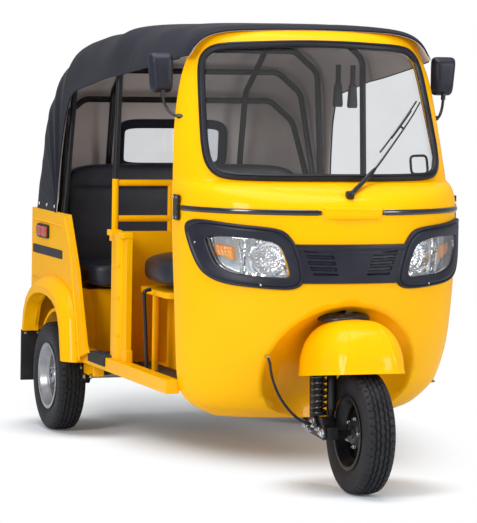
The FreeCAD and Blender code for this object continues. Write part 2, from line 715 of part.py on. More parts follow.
def underframe():
    """Ladder frame with the backbone and the head tube."""
    top = "floor_z - floor_sheet"
    rail = box("FrameRail", ("rail_width", "rail_back - rail_front", "rail_height"),
               ("rail_x", "rail_front", top + " - rail_height"))
    ties = [box("FrameTie%d" % index, ("2 * rail_x + 2 * rail_width", "tie_width", "40"),
                ("-rail_x - rail_width", y, top + " - 50"))
            for index, y in enumerate(("rail_front", "-100", "400", "engine_y - tie_width", "engine_y + engine_long"))]
    head = less("HeadTubeHollow", raked("HeadTube", "head_tube_radius", "head_tube_low", "head_tube_high"),
                raked("HeadBore", "column_radius + running_gap", "head_tube_low - 50", "head_tube_high + 50"))
    back = tube("Backbone", "24", (("0", "(%s) + 40" % steer_y("780"), "780"), ("0", "-610", "560"),
                                   ("0", "-545", "310")), "80")
    trimmed = less("BackboneTrim", back, raked("BackboneCut", "head_tube_radius - 4", "600", "1000"))
    parts = [rail, mirrored("FrameRailTwin", rail)] + ties + [head, trimmed]
    return piece(joined("FrameWhole", parts), "underframe")


def floor_pan(room):
    """Flat floor inside the cowl and between the sills."""
    low = "floor_z - floor_sheet"
    plate = prism("FloorPlate", "XY", (("-600", "-585"), ("-600", "-800"), ("600", "-800"), ("600", "-585")),
                  low, "floor_sheet")
    front = shared("FloorFront", [plate, room])
    rear = prism("FloorRear", "XY", (
        ("-sill_in", "-585"), ("-sill_in", "floor_back"), ("sill_in", "floor_back"), ("sill_in", "-500"),
        ("floor_left", "-500"), ("floor_left", "-585")), low, "floor_sheet")
    fitted = less("FloorFit", joined("FloorWhole", [front, rear]),
                  together("FloorTools", [pieces["underframe"], pieces["front_cowl"]]))
    return piece(fitted, "floor_pan")


def sills():
    """Side sills between the cowl and the rear arches."""
    right = box("SillRight", ("sill_out - sill_in", "1190", "sill_high - sill_low"),
                ("-sill_out", "jamb_y", "sill_low"))
    left = box("SillLeft", ("sill_left_width", "1115", "sill_high - sill_low"), ("sill_in", "jamb_y + 75", "sill_low"))
    solids = less("SillFit", together("SillPair", [right, left]), pieces["front_cowl"])
    return piece(solids, "sills")


def side_posts():
    """Pressed door posts with the tube above them."""
    channel = prism("PostChannel", "XY", (
        ("sill_in + 2", "post_front_y"), ("sill_in + 24", "post_front_y"), ("sill_in + 24", "post_front_y + 60"),
        ("sill_in + 40", "post_front_y + 75"), ("sill_in + 40", "post_back_y - 75"),
        ("sill_in + 24", "post_back_y - 60"), ("sill_in + 24", "post_back_y"), ("sill_in + 2", "post_back_y")),
        "sill_high", "post_top - sill_high")
    pipe = cylinder("PostTube", "tube_radius", "bow_foot - post_top + 12", ("sill_in", "hoop_y", "post_top - 12"))
    foot = box("PostFoot", ("30", "60", "30"), ("sill_in - 13", "post_back_y - 4", "post_top - 40"))
    return piece(both("PostPair", joined("PostWhole", [channel, pipe, foot])), "side_posts")


def driver_place():
    """Seat box, cushion, partition bars and hand lever."""
    base = box("SeatBox", ("2 * (seat_half - 100)", "330", "673 - floor_z"), ("-seat_half + 100", "-260", "floor_z"))
    piece(base, "driver_seat_box")
    cushion = box("SeatCushion", ("2 * seat_half", "430", "139"), ("-seat_half", "-310", "673"))
    piece(cushion, "driver_seat")
    reach = "sill_in - tube_radius"
    wall = box("PartitionPanel", ("2 * (%s)" % reach, "20", "post_top - floor_z"),
               ("-1 * (%s)" % reach, "post_back_y + 8", "floor_z"))
    low = cylinder("PartitionLow", "tube_radius", "2 * (%s)" % reach, ("-1 * (%s)" % reach, "hoop_y", "930"), "X")
    high = cylinder("PartitionHigh", "tube_radius", "2 * (%s)" % reach, ("-1 * (%s)" % reach, "hoop_y", "1074"), "X")
    bars = [cylinder("PartitionBar%d" % index, "tube_radius", "1074 - post_top + 2",
                     (x, "hoop_y", "post_top - 2"))
            for index, x in enumerate(("-300", "0", "300"))]
    panel = less("PartitionFit", joined("PartitionWhole", [wall, low, high] + bars), pieces["side_posts"])
    piece(panel, "partition_frame")
    lever = tube("LeverTube", "9", (("-430", "-332", "floor_z - 5"), ("-430", "-345", "600"), ("-430", "-262", "610")),
                 "25")
    piece(less("LeverFit", lever, pieces["floor_pan"]), "hand_lever")


def passenger_place():
    """Passenger seat base, cushion and backrest."""
    front = "bench_front_y + 95"
    base = box("BenchBase", ("2 * housing_x", "400", "bench_foot - floor_z"), ("-housing_x", front, "floor_z"))
    hollow = box("BenchHollow", ("2 * housing_x + 20", "400", "bench_foot - floor_z"),
                 ("-housing_x - 10", front + " + body_sheet", "floor_z - body_sheet"))
    piece(less("BenchWhole", base, hollow), "rear_seat_base")
    cushion = box("BenchCushion", ("2 * bench_half", "430", "bench_top - bench_foot"),
                  ("-bench_half", "bench_front_y", "bench_foot"))
    piece(cushion, "rear_seat_cushion")
    back = prism("BenchBack", "YZ", (
        ("bench_front_y + 430", "bench_foot"), ("bench_front_y + 430", "bench_top"),
        ("backrest_y + 30", "backrest_top"), ("backrest_y + 130", "backrest_top"),
        ("backrest_y + 130", "bench_foot")), "-bench_half + 17", "2 * bench_half - 34")
    piece(back, "rear_seat_back")


def rear_body():
    """Yellow rear body: side panels with arches, rear wall, lid and lamps."""
    side = prism("SidePanel", "YZ", (
        ("405", "sill_high"), ("430", "400"), ("560", "700"), ("700", "belt_z"), ("body_back_y", "belt_z"),
        ("body_back_y", "390"), ("1190", "390"), ("rear_axle_y + arch_radius", "420"),
        ("rear_axle_y + arch_radius * 0.84", "510"), ("rear_axle_y + arch_radius * 0.5", "562"),
        ("rear_axle_y", "575"), ("rear_axle_y - arch_radius * 0.5", "545"),
        ("rear_axle_y - arch_radius * 0.8", "470"), ("rear_axle_y - arch_radius", "sill_low")),
        "body_side_x - body_sheet", "body_sheet")
    lip = arch_lip()
    piece(both("SidePair", joined("SideWhole", [side, lip])), "quarter_panels")
    wall = box("RearWall", ("2 * (body_side_x - body_sheet)", "body_sheet", "belt_z - 390"),
               ("-body_side_x + body_sheet", "body_back_y - body_sheet", "390"))
    hole = box("RearHole", ("2 * lid_half + 16", "100", "lid_high - lid_low + 16"),
               ("-lid_half - 8", "body_back_y - 50", "lid_low - 8"))
    rear_lid(less("RearOpen", wall, hole))
    lamp = box("TailLamp", ("90", "24", "110"), ("490", "body_back_y", "395"))
    piece(both("TailPair", lamp), "tail_lamps")
    mark = box("SideMark", ("14", "150", "36"), ("body_side_x", "890", "811"))
    piece(both("MarkPair", mark), "side_markers")
    flap = box("Flap", ("150", "8", "220"), ("rear_wheel_x - 75", "body_back_y - body_sheet", "170"))
    piece(both("FlapPair", flap), "mudflaps")
    rear_bumper()


ARCH = (
    (-292, 322), (-262, 452), (-232, 505), (-190, 540), (-140, 560), (-70, 573), (0, 577), (70, 574), (140, 563),
    (200, 541), (243, 510), (275, 460), (290, 400), (290, 390),
)


def arch_line(side, grow):
    """Corners of the wheel arch at a crosswise place, moved outwards from the wheel by a distance."""
    middle = spot(("0", "rear_axle_y", "tyre_radius"))
    dots = []
    for along, up in ARCH:
        away = FreeCAD.Vector(0, along, max(up - middle.z, 60)).normalize() * grow
        dots.append(FreeCAD.Vector(side, middle.y + along + away.y, up + away.z * (up > 400)))
    return dots


def arch_lip():
    """Flare round the wheel arch, wide at the body and narrow at its outer edge."""
    wires = []
    for part in (0, 0.35, 0.7, 0.92, 1):
        side = number("body_side_x - 2 + (arch_flare + 2) * %s" % part)
        swell = 30 + 44 * (1 - part ** 2.2)
        dots = arch_line(side, 0) + arch_line(side, swell)[::-1]
        wires.append(Part.makePolygon(dots + dots[:1]))
    return held("ArchLip", Part.makeLoft(wires, True, True))


def wheel_housings():
    """Half round housings over the rear wheels, open outwards and below."""
    place = ("housing_x", "rear_axle_y", "tyre_radius")
    reach = "body_side_x - body_sheet - housing_x"
    drum = cylinder("HousingOut", "housing_radius + housing_sheet", reach, place, "X")
    hollow = cylinder("HousingIn", "housing_radius", reach, ("housing_x + 8", "rear_axle_y", "tyre_radius"), "X")
    low = box("HousingCut", ("200", "800", "400"), ("housing_x - 50", "rear_axle_y - 400", "-90"))
    ring = less("HousingRing", drum, joined("HousingTools", [hollow, low]))
    tools = together("HousingFitTools", [pieces["floor_pan"], pieces["quarter_panels"]])
    return piece(less("HousingFit", both("HousingPair", ring), tools), "wheel_housings")


def rear_bumper():
    """Bar behind the lid on two arms from the ends of the frame rails."""
    height = "floor_z - floor_sheet - rail_height / 2"
    bar_y = "vehicle_back - bumper_radius"
    bar = cylinder("BumperBar", "bumper_radius", "2 * bumper_half", ("-bumper_half", bar_y, height), "X")
    arm = cylinder("BumperArm", "bumper_radius - 4", bar_y + " - rail_back",
                   ("rail_x + rail_width / 2", "rail_back", height), "Y")
    return piece(joined("BumperWhole", [bar, arm, mirrored("BumperArmTwin", arm)]), "rear_bumper")


def rear_lid(wall):
    """Top-hinged lid in the rear wall, with two hinges of three knuckles and a pin."""
    pivot_y = "body_back_y + 8"
    pivot_z = "lid_high + 4"
    plate = box("LidPlate", ("2 * lid_half", "body_sheet", "lid_high - lid_low"),
                ("-lid_half", "body_back_y - body_sheet", "lid_low"))
    lid_parts = [plate]
    wall_parts = [wall]
    bores = []
    for index, x in enumerate(("-lid_half + 90", "lid_half - 130")):
        bores.append(cylinder("LidBore%d" % index, "3 + running_gap", "60", ("%s - 10" % x, pivot_y, pivot_z), "X"))
        lid_parts.append(cylinder("LidKnuckle%d" % index, "7", "40", (x, pivot_y, pivot_z), "X"))
        lid_parts.append(box("LidStrap%d" % index, ("40", "6", "46"), (x, "body_back_y", "lid_high - 42")))
        for side, start in enumerate(("%s - 20.5" % x, "%s + 40.5" % x)):
            wall_parts.append(cylinder("WallKnuckle%d%d" % (index, side), "7", "20", (start, pivot_y, pivot_z), "X"))
            wall_parts.append(box("WallStrap%d%d" % (index, side), ("20", "6", "46"),
                                  (start, "body_back_y", "lid_high + 4")))
        wall_parts.append(cylinder("LidPin%d" % index, "3", "80", ("%s - 20" % x, pivot_y, pivot_z), "X"))
    piece(joined("RearWhole", wall_parts), "rear_panel")
    piece(less("LidWhole", joined("LidSolid", lid_parts), joined("LidBores", bores)), "engine_lid")


# The hood's sections, front to rear.
# Each row: mark along the crown, base y, turn up from the rear level, reach from the base, half width.
HOOD_SECTIONS = (
    (0, -496, 90, 786, 545),
    (36, -460, 90, 802, 551),
    (150, -340, 90, 811, 560),
    (370, -120, 90, 806, 576),
    (590, 100, 90, 801, 590),
    (790, 300, 90, 802, 600),
    (970, 480, 90, 784, 606),
    (1130, 640, 90, 776, 611),
    (1290, 800, 90, 750, 616),
    (1380, 880, 90, 727, 618),
    (1455, 880, 83.5, 704, 618),
    (1610, 880, 71.3, 654, 618),
    (1730, 880, 61.3, 603, 618),
    (1830, 880, 52.7, 553, 618),
    (1910, 880, 45, 488, 618),
    (2050, 880, 30, 415.5, 618),
    (2160, 880, 15, 386, 618),
    (2290, 880, 0, 382, 618),
)
HOOD_STEPS = 30
HOOD_ARCH_STEPS = 36


def hood_wire(row, inset, drop):
    """Closed section of the hood: a square-shouldered arch over a straight base line."""
    base_y, turn, reach, half = row
    shift = number("hood_pivot_y") - 880
    turn = math.radians(turn)
    dots = []
    for step in range(HOOD_ARCH_STEPS + 1):
        part = step / HOOD_ARCH_STEPS
        angle = math.pi * part ** 3 * (10 - 15 * part + 6 * part ** 2)
        rise = math.sin(angle) ** 0.25
        across = math.copysign(abs(math.cos(angle)) ** 0.25, math.cos(angle))
        x = across * ((half - inset) * (1 - 0.05 * rise))
        out = rise * (reach - inset - 16 * across ** 2 * math.sin(turn)) - drop * (1 - rise) * math.sin(turn)
        dots.append(FreeCAD.Vector(x, base_y + shift + out * math.cos(turn),
                                   number("belt_z") - drop + out * math.sin(turn) + drop * math.sin(turn) * rise))
    curve = Part.BSplineCurve()
    curve.interpolate(dots)
    return Part.Wire([curve.toShape(), Part.makeLine(dots[-1], dots[0])])


def hood_solid(name, inset, drop, front):
    """Everything under the hood's outside as one solid, shrunk by an inset and let down by a drop."""
    rows = [list(row) for row in HOOD_SECTIONS]
    rows[0][1] = rows[0][1] - front
    end = rows[-1][0]
    wires = [hood_wire(eased(rows, end * step / HOOD_STEPS), inset, drop) for step in range(HOOD_STEPS + 1)]
    return held(name, Part.makeLoft(wires, True, True))


def hood():
    """Canvas hood with open sides and a rear window."""
    shell = less("HoodShell", hood_solid("HoodOut", 0, 0, 0), hood_solid("HoodIn", number("hood_skin"), 4, 6))
    doors = prism("HoodDoors", "YZ", (
        ("-700", "1600"), ("-450", "1600"), ("-151", "1561"), ("174", "1522"), ("339", "1505"), ("536", "1473"),
        ("710", "1445"), ("768", "1414"), ("823", "1309"), ("860", "1140"), ("883", "belt_z - 20"),
        ("-700", "belt_z - 20")), "-700", "1400")
    window = box("HoodWindow", ("480", "300", "200"), ("-240", "1050", "1090"))
    cloth = less("HoodOpen", shell, joined("HoodHoles", [doors, window]))
    piece(less("HoodFit", cloth, pieces["front_cowl"]), "hood_canopy")
    pane = shared("WindowPane", [shell, box("WindowRoom", ("480", "300", "200"), ("-240", "1050", "1090"))])
    piece(pane, "rear_window")


def bow(name, foot_y, foot_z, top_y, top_z, half, lean):
    """Bent hoop from one side to the other, its legs leaning inwards by a distance."""
    shoulder = "%s - %s" % (half, lean)
    return tube(name, "tube_radius", (
        ("-%s" % half, foot_y, foot_z), ("-1 * (%s)" % shoulder, top_y, top_z + " - 90"),
        ("-1 * (%s) + 106" % shoulder, top_y, top_z), ("%s - 106" % shoulder, top_y, top_z),
        (shoulder, top_y, top_z + " - 90"), (half, foot_y, foot_z)), "70")


def hood_frame():
    """Black tube frame that carries the hood."""
    middle = bow("MiddleBow", "hoop_y", "bow_foot", "hoop_y", "1676", "sill_in", "14")
    inside = "(body_side_x - body_sheet - tube_radius - 6)"
    back = bow("BackBow", "hood_pivot_y", "belt_z - 30", "860", "1610", inside, "40")
    fan = [bow("FanBow%d" % index, "hood_pivot_y + %d" % (28 + 28 * index), "belt_z - 30", y, z, inside, "50")
           for index, (y, z) in enumerate((("1036", "1516"), ("1130", "1390")))]
    foot = box("BowFoot", ("18", "110", "40"),
               ("body_side_x - body_sheet - 18", "hood_pivot_y - 26", "belt_z - 50"))
    parts = [middle, back, foot, mirrored("BowFootTwin", foot)] + fan
    front_z = "cowl_top - cowl_skin - tube_radius - 0.1"
    for index, x in enumerate(("-300", "300")):
        parts.append(tube("RoofRail%d" % index, "tube_radius", (
            (x, "-413.7", front_z), (x, "hoop_y", "1676"), (x, "860", "1610"),
            (x, "1108", "1424"), (x, "1205", "belt_z + 10")), "60"))
    return piece(less("HoodFrameFit", joined("HoodFrameWhole", parts), pieces["side_posts"]), "hood_frame")


def power_unit():
    """Engine block, drive shafts, trailing arms and rear springs."""
    piece(box("Engine", ("380", "engine_long", "270"), ("-190", "engine_y", "200")), "engine_block")
    arm = tube("Arm", "22", (("290", "560", "300"), ("400", "610", "290"), ("470", "860", "240"),
                             ("480", "rear_axle_y + 30", "tyre_radius")), "50")
    boss = cylinder("ArmBoss", "36", "50", ("455", "rear_axle_y", "tyre_radius"), "X")
    bore = cylinder("ArmBore", "shaft_radius + running_gap", "300", ("300", "rear_axle_y", "tyre_radius"), "X")
    tools = together("ArmTools", [pieces["underframe"], both("ArmBores", bore)])
    arms = less("ArmFit", both("ArmPair", joined("ArmWhole", [arm, boss])), tools)
    piece(arms, "trailing_arms")
    hub_face = "rear_wheel_x - 34"
    shaft = cylinder("Shaft", "shaft_radius", "%s - 190 - running_gap * 6" % hub_face,
                     ("190", "rear_axle_y", "tyre_radius"), "X")
    stub = cylinder("Stub", "axle_radius - running_gap", "72", ("%s - 4" % hub_face, "rear_axle_y", "tyre_radius"), "X")
    shafts = both("ShaftPair", joined("ShaftWhole", [shaft, stub]))
    piece(shafts, "drive_shafts")
    coil = cylinder("Coil", "32", "bench_foot - body_sheet - 240", ("452", "830", "240"))
    piece(less("CoilFit", both("CoilPair", coil), together("CoilTools", [arms, shafts])), "rear_springs")


def fittings(room):
    """Wiper, mirrors, hinge plates, dashboard and brake hose."""
    arm = tube("WiperArm", "5", (("0", "-905", "1100"), ("60", "-900", "1135"), ("290", "-640", "1500")), "20")
    piece(less("WiperFit", arm, pieces["front_cowl"]), "wiper")
    head = prism("MirrorHead", "XZ", (
        ("548", "1453"), ("606", "1453"), ("618", "1466"), ("624", "1588"), ("610", "1603"), ("544", "1603"),
        ("529", "1588"), ("536", "1466")), "-450", "34")
    stem = tube("MirrorStem", "7", (("516", "-494", "1366"), ("560", "-480", "1372"), ("576", "-440", "1460")), "20")
    pair = both("MirrorPair", joined("MirrorWhole", [head, stem]))
    piece(less("MirrorFit", pair, pieces["front_cowl"]), "mirrors")
    plate = box("HingePlate", ("8", "60", "95"), ("554", "-600", "980"))
    piece(less("HingeFit", both("HingePair", plate), pieces["front_cowl"]), "hinge_plates")
    shelf = box("DashBlock", ("900", "85", "70"), ("-450", "-960", "950"))
    piece(shared("DashWhole", [shelf, room]), "dashboard")
    link_face = "-leg_x - 21.2"
    hose = tube("HoseTube", "hose_radius", (
        ("-298", "-877.2", "492"), ("-296", "-912", "487"), ("-281", "-938", "410"), ("-243", "-962", "320"),
        ("-200", "-980", "250"), (link_face, "-985", "240")), "24")
    piece(hose, "brake_hose")


room = cowl_room("CowlRoom")
bezel = low_skin("BezelSkin", 0, number("bezel_depth"))
front_cowl(room)
windshield()
trim_strip(low_skin("StripSkin", 0, 7))
front_lamps(bezel)
wheel("Front", "front", "0", "front_hub_radius")
wheel("RearRight", "right", "-rear_wheel_x", "hub_radius")
wheel("RearLeft", "left", "rear_wheel_x", "hub_radius")
steering()
underframe()
floor_pan(room)
sills()
side_posts()
driver_place()
passenger_place()
rear_body()
wheel_housings()
hood()
hood_frame()
power_unit()
fittings(room)
doc.recompute()

# Every object must have built, and every sub-part must be a sound solid, before anything is written.
for thing in doc.Objects:
    if "Invalid" in thing.State or "Error" in thing.State:
        raise SystemExit("%s did not build" % thing.Label)
for label, thing in pieces.items():
    if thing.Shape.isNull() or not thing.Shape.isValid() or thing.Shape.Volume <= 0:
        raise SystemExit("%s is not a sound solid" % label)
for label, thing in pieces.items():
    thing.Shape.exportStep("parts/%s.step" % label)
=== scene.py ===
import json
import math

import bmesh
import bpy
import numpy as np
from mathutils import Matrix, Vector


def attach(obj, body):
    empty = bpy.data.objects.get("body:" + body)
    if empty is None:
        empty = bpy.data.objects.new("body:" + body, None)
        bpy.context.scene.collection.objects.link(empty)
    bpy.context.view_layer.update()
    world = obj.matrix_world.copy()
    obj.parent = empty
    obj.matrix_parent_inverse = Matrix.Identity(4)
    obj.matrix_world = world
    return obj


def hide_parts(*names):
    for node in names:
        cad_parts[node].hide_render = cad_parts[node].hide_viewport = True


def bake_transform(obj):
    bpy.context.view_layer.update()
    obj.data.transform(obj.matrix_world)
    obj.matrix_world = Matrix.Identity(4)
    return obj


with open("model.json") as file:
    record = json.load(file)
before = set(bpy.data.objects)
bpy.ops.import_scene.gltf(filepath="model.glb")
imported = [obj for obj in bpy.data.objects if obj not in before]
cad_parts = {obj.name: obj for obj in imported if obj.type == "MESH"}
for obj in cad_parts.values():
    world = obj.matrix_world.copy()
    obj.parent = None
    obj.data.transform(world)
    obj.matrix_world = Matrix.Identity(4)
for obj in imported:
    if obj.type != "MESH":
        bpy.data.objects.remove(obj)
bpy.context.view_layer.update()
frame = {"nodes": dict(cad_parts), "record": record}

MM = 0.001
BODY_OF = {node: body for body, group in frame["record"]["behaviour"]["bodies"].items() for node in group}

# The camera's view.
PHOTO_HIGH = 523
SENSOR = 36.0
FOCAL_PX = 3016.0
CAMERA_PLACE = (-4.069, -11.308, 1.672)
CAMERA_TURN = (19.31, -4.28, 1.01)


def place_camera():
    """Camera at the photograph's point of view, from its solved place, turn, nod and tilt."""
    yaw, pitch, roll = np.radians(CAMERA_TURN)
    ahead = Vector((math.sin(yaw) * math.cos(pitch), math.cos(yaw) * math.cos(pitch), math.sin(pitch)))
    side = Vector((math.cos(yaw), -math.sin(yaw), 0))
    up = side.cross(ahead)
    right = side * math.cos(roll) + up * math.sin(roll)
    top = up * math.cos(roll) - side * math.sin(roll)
    lens = bpy.data.cameras.new("photo_camera")
    lens.sensor_width = SENSOR
    lens.sensor_fit = "AUTO"
    lens.lens = FOCAL_PX * SENSOR / PHOTO_HIGH
    lens.clip_end = 200
    camera = bpy.data.objects.new("photo_camera", lens)
    turn = Matrix((right, top, -ahead)).transposed().to_4x4()
    camera.matrix_world = Matrix.Translation(CAMERA_PLACE) @ turn
    bpy.context.scene.collection.objects.link(camera)
    bpy.context.scene.camera = camera


place_camera()


# Mesh making.
def bent(value, power):
    """A cosine or sine raised to a power, its sign kept."""
    return np.sign(value) * np.abs(value) ** power


def full_turn(count):
    """Even turns round a circle, in radians."""
    return np.linspace(0, 2 * math.pi, count, endpoint=False)


def link(mesh, name):
    """Object that holds a mesh, at the origin."""
    thing = bpy.data.objects.new(name, mesh)
    bpy.context.scene.collection.objects.link(thing)
    return thing


def mesh_of(name, points, faces, sharp=40):
    """Smooth-shaded object from points in millimetres and faces; edges past an angle stay crisp."""
    mesh = bpy.data.meshes.new(name)
    mesh.from_pydata((np.asarray(points) * MM).tolist(), [], faces)
    mesh.validate()
    mesh.shade_smooth()
    mesh.set_sharp_from_angle(angle=math.radians(sharp))
    return link(mesh, name)


def grid_faces(rows, columns, wrap_rows=False, wrap_columns=False, start=0):
    """Four-sided faces between neighbours on a grid of rows and columns, as an array of point numbers."""
    down = np.arange(rows if wrap_rows else rows - 1)
    along = np.arange(columns if wrap_columns else columns - 1)
    first, second = np.meshgrid(down, along, indexing="ij")
    below = (first + 1) % rows
    beside = (second + 1) % columns
    quads = np.stack([first * columns + second, first * columns + beside,
                      below * columns + beside, below * columns + second], axis=-1)
    return quads.reshape(-1, 4) + start


def grid_normals(points, wrap_columns=False):
    """Unit normals of a grid: the cross product of its two central differences."""
    if wrap_columns:
        along = np.roll(points, -1, 1) - np.roll(points, 1, 1)
    else:
        along = np.gradient(points, axis=1)
    normals = np.cross(along, np.gradient(points, axis=0))
    length = np.linalg.norm(normals, axis=-1, keepdims=True)
    return normals / np.maximum(length, 1e-12)


def sheet_mesh(name, points, wrap_rows=False, wrap_columns=False, sharp=40):
    """Single surface through a grid of points."""
    rows, columns = points.shape[:2]
    faces = grid_faces(rows, columns, wrap_rows, wrap_columns)
    return mesh_of(name, points.reshape(-1, 3), faces.tolist(), sharp)


def slab_mesh(name, outer, inner, wrap_columns=False, sharp=40):
    """Closed wall between two grids of the same size: outer face, inner face and the rims that join them."""
    rows, columns = outer.shape[:2]
    count = rows * columns
    faces = [grid_faces(rows, columns, False, wrap_columns),
             grid_faces(rows, columns, False, wrap_columns, count)[:, ::-1]]
    number = np.arange(count).reshape(rows, columns)
    rims = [(number[0], wrap_columns, False), (number[-1], wrap_columns, True)]
    if not wrap_columns:
        rims += [(number[:, 0], False, True), (number[:, -1], False, False)]
    for near, closed, turned in rims:
        far = np.roll(near, -1)
        if not closed:
            near, far = near[:-1], far[:-1]
        quads = np.stack([near, near + count, far + count, far], axis=-1)
        faces.append(quads[:, ::-1] if turned else quads)
    points = np.concatenate([outer.reshape(-1, 3), inner.reshape(-1, 3)])
    return mesh_of(name, points, np.concatenate(faces).tolist(), sharp)


def smooth_line(points, count, closed=False):
    """Smooth curve through points: a cubic whose slope at each is half the step between its neighbours."""
    points = np.asarray(points, float)
    if closed:
        padded = np.concatenate([points[-1:], points, points[:2]])
    else:
        padded = np.concatenate([2 * points[:1] - points[1:2], points, 2 * points[-1:] - points[-2:-1]])
    step = np.linspace(0, 1, 24, endpoint=False)[:, None, None]
    before, start, end, after = padded[:-3], padded[1:-2], padded[2:-1], padded[3:]
    curve = 0.5 * (2 * start + (end - before) * step + (2 * before - 5 * start + 4 * end - after) * step ** 2
                   + (3 * start - before - 3 * end + after) * step ** 3)
    curve = np.swapaxes(curve, 0, 1).reshape(-1, points.shape[1])
    curve = np.concatenate([curve, points[:1] if closed else points[-1:]])
    return even_steps(curve, count, closed)


def even_steps(curve, count, closed=False):
    """The same line read at even steps of its length."""
    length = np.concatenate([[0], np.cumsum(np.linalg.norm(np.diff(curve, axis=0), axis=1))])
    marks = np.linspace(0, length[-1], count, endpoint=not closed)
    return np.stack([np.interp(marks, length, curve[:, axis]) for axis in range(curve.shape[1])], axis=1)


def rounded_line(corners, passes=3, closed=False):
    """Polygon with its corners cut again and again at a quarter and three quarters of each side."""
    line = np.asarray(corners, float)
    for _ in range(passes):
        ahead = np.roll(line, -1, axis=0)
        first, second = line * 0.75 + ahead * 0.25, line * 0.25 + ahead * 0.75
        if closed:
            line = np.stack([first, second], axis=1).reshape(-1, line.shape[1])
        else:
            inner = np.stack([first[:-1], second[:-1]], axis=1).reshape(-1, line.shape[1])
            line = np.concatenate([line[:1], inner[1:-1], line[-1:]])
    return line


def line_frames(line, closed=False):
    """Two unit directions square to a line at each point, carried along it with the least turn."""
    if closed:
        ahead = np.roll(line, -1, axis=0) - np.roll(line, 1, axis=0)
    else:
        ahead = np.gradient(line, axis=0)
    ahead = ahead / np.linalg.norm(ahead, axis=1, keepdims=True)
    first = np.zeros_like(line)
    guess = np.array([0.0, 0.0, 1.0])
    if abs(guess @ ahead[0]) > 0.95:
        guess = np.array([1.0, 0.1, 0.0])
    for index, way in enumerate(ahead):
        guess = guess - way * (guess @ way)
        guess = guess / np.linalg.norm(guess)
        first[index] = guess
    return first, np.cross(ahead, first)


def tube_mesh(name, line, radius, sides=16, closed=False, sharp=50):
    """Round tube: a circle carried square to a line, its ends closed by shrinking rings."""
    line = np.asarray(line, float)
    radius = np.broadcast_to(np.asarray(radius, float), (len(line),)).copy()
    if not closed:
        line = np.concatenate([line[:1], line[:1], line, line[-1:], line[-1:]])
        radius = np.concatenate([[0.0], radius[:1] * 0.96, radius, radius[-1:] * 0.96, [0.0]])
    spread = line.copy()
    if not closed:
        spread[:2] = line[2] + (line[2] - line[3]) * 1e-3
        spread[-2:] = line[-3] + (line[-3] - line[-4]) * 1e-3
        spread[0] += (spread[0] - line[3]) * 1e-4
        spread[-1] += (spread[-1] - line[-4]) * 1e-4
    first, second = line_frames(spread, closed)
    angle = full_turn(sides)
    ring = first[:, None] * np.cos(angle)[None, :, None] + second[:, None] * np.sin(angle)[None, :, None]
    points = spread[:, None] + ring * radius[:, None, None]
    return closed_up(sheet_mesh(name, points, wrap_rows=closed, wrap_columns=True, sharp=sharp))


def closed_up(thing, distance=1e-6):
    """Merges the doubled points of a piece and turns every face outwards."""
    work = bmesh.new()
    work.from_mesh(thing.data)
    bmesh.ops.remove_doubles(work, verts=work.verts, dist=distance)
    bmesh.ops.dissolve_degenerate(work, edges=work.edges, dist=distance / 10)
    bmesh.ops.recalc_face_normals(work, faces=work.faces)
    work.to_mesh(thing.data)
    work.free()
    return thing


def lathe_mesh(name, profile, centre, axis="X", steps=64, sharp=35):
    """Turned piece: each profile point (place along the axis, radius) swung full circle round the axis."""
    profile = np.asarray(profile, float)
    angle = full_turn(steps)
    along = np.broadcast_to(profile[:, :1], (len(profile), steps))
    one = profile[:, 1:2] * np.cos(angle)
    two = profile[:, 1:2] * np.sin(angle)
    order = {"X": (along, one, two), "Y": (two, along, one), "Z": (one, two, along)}[axis]
    points = np.stack(order, axis=-1) + np.asarray(centre, float)
    return closed_up(sheet_mesh(name, points, wrap_columns=True, sharp=sharp))


def merged(name, things, sharp=40):
    """Several objects joined to one piece."""
    work = bmesh.new()
    for thing in things:
        work.from_mesh(thing.data)
        bpy.data.objects.remove(thing)
    mesh = bpy.data.meshes.new(name)
    work.to_mesh(mesh)
    work.free()
    mesh.shade_smooth()
    mesh.set_sharp_from_angle(angle=math.radians(sharp))
    return link(mesh, name)


def solid_copy(node, edge, sharp):
    """Merged copy of a CAD node that takes its place: smooth where it curves, its edges bevelled."""
    mesh = frame["nodes"][node].data.copy()
    thing = link(mesh, node + "_finish")
    work = bmesh.new()
    work.from_mesh(mesh)
    bmesh.ops.remove_doubles(work, verts=work.verts, dist=2e-5)
    bmesh.ops.dissolve_degenerate(work, edges=work.edges, dist=1e-6)
    if edge:
        bmesh.ops.dissolve_limit(work, angle_limit=math.radians(0.6), verts=work.verts, edges=work.edges)
    work.to_mesh(mesh)
    work.free()
    mesh.materials.clear()
    mesh.shade_smooth()
    mesh.set_sharp_from_angle(angle=math.radians(sharp))
    if edge:
        bevel = thing.modifiers.new("edge", "BEVEL")
        bevel.width = edge
        bevel.segments = 2
        bevel.limit_method = "ANGLE"
        bevel.angle_limit = math.radians(38)
        bevel.harden_normals = True
        bevel.use_clamp_overlap = True
    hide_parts(node)
    return thing


# Finishes: every material is worked out from nodes on Object coordinates.
def new_finish(name):
    """Empty material with a Principled shader, its nodes and its links."""
    material = bpy.data.materials.new(name)
    material.use_nodes = True
    nodes, links = material.node_tree.nodes, material.node_tree.links
    shader = nodes["Principled BSDF"]
    return material, nodes, links, shader


def noise_value(nodes, links, scale, detail=3.0, rough=0.5, stretch=(1, 1, 1)):
    """Noise read at Object coordinates, stretched along the axes."""
    place = nodes.new("ShaderNodeTexCoord")
    mapping = nodes.new("ShaderNodeMapping")
    mapping.inputs["Scale"].default_value = stretch
    noise = nodes.new("ShaderNodeTexNoise")
    noise.inputs["Scale"].default_value = scale
    noise.inputs["Detail"].default_value = detail
    noise.inputs["Roughness"].default_value = rough
    links.new(place.outputs["Object"], mapping.inputs["Vector"])
    links.new(mapping.outputs["Vector"], noise.inputs["Vector"])
    return noise.outputs["Fac"]


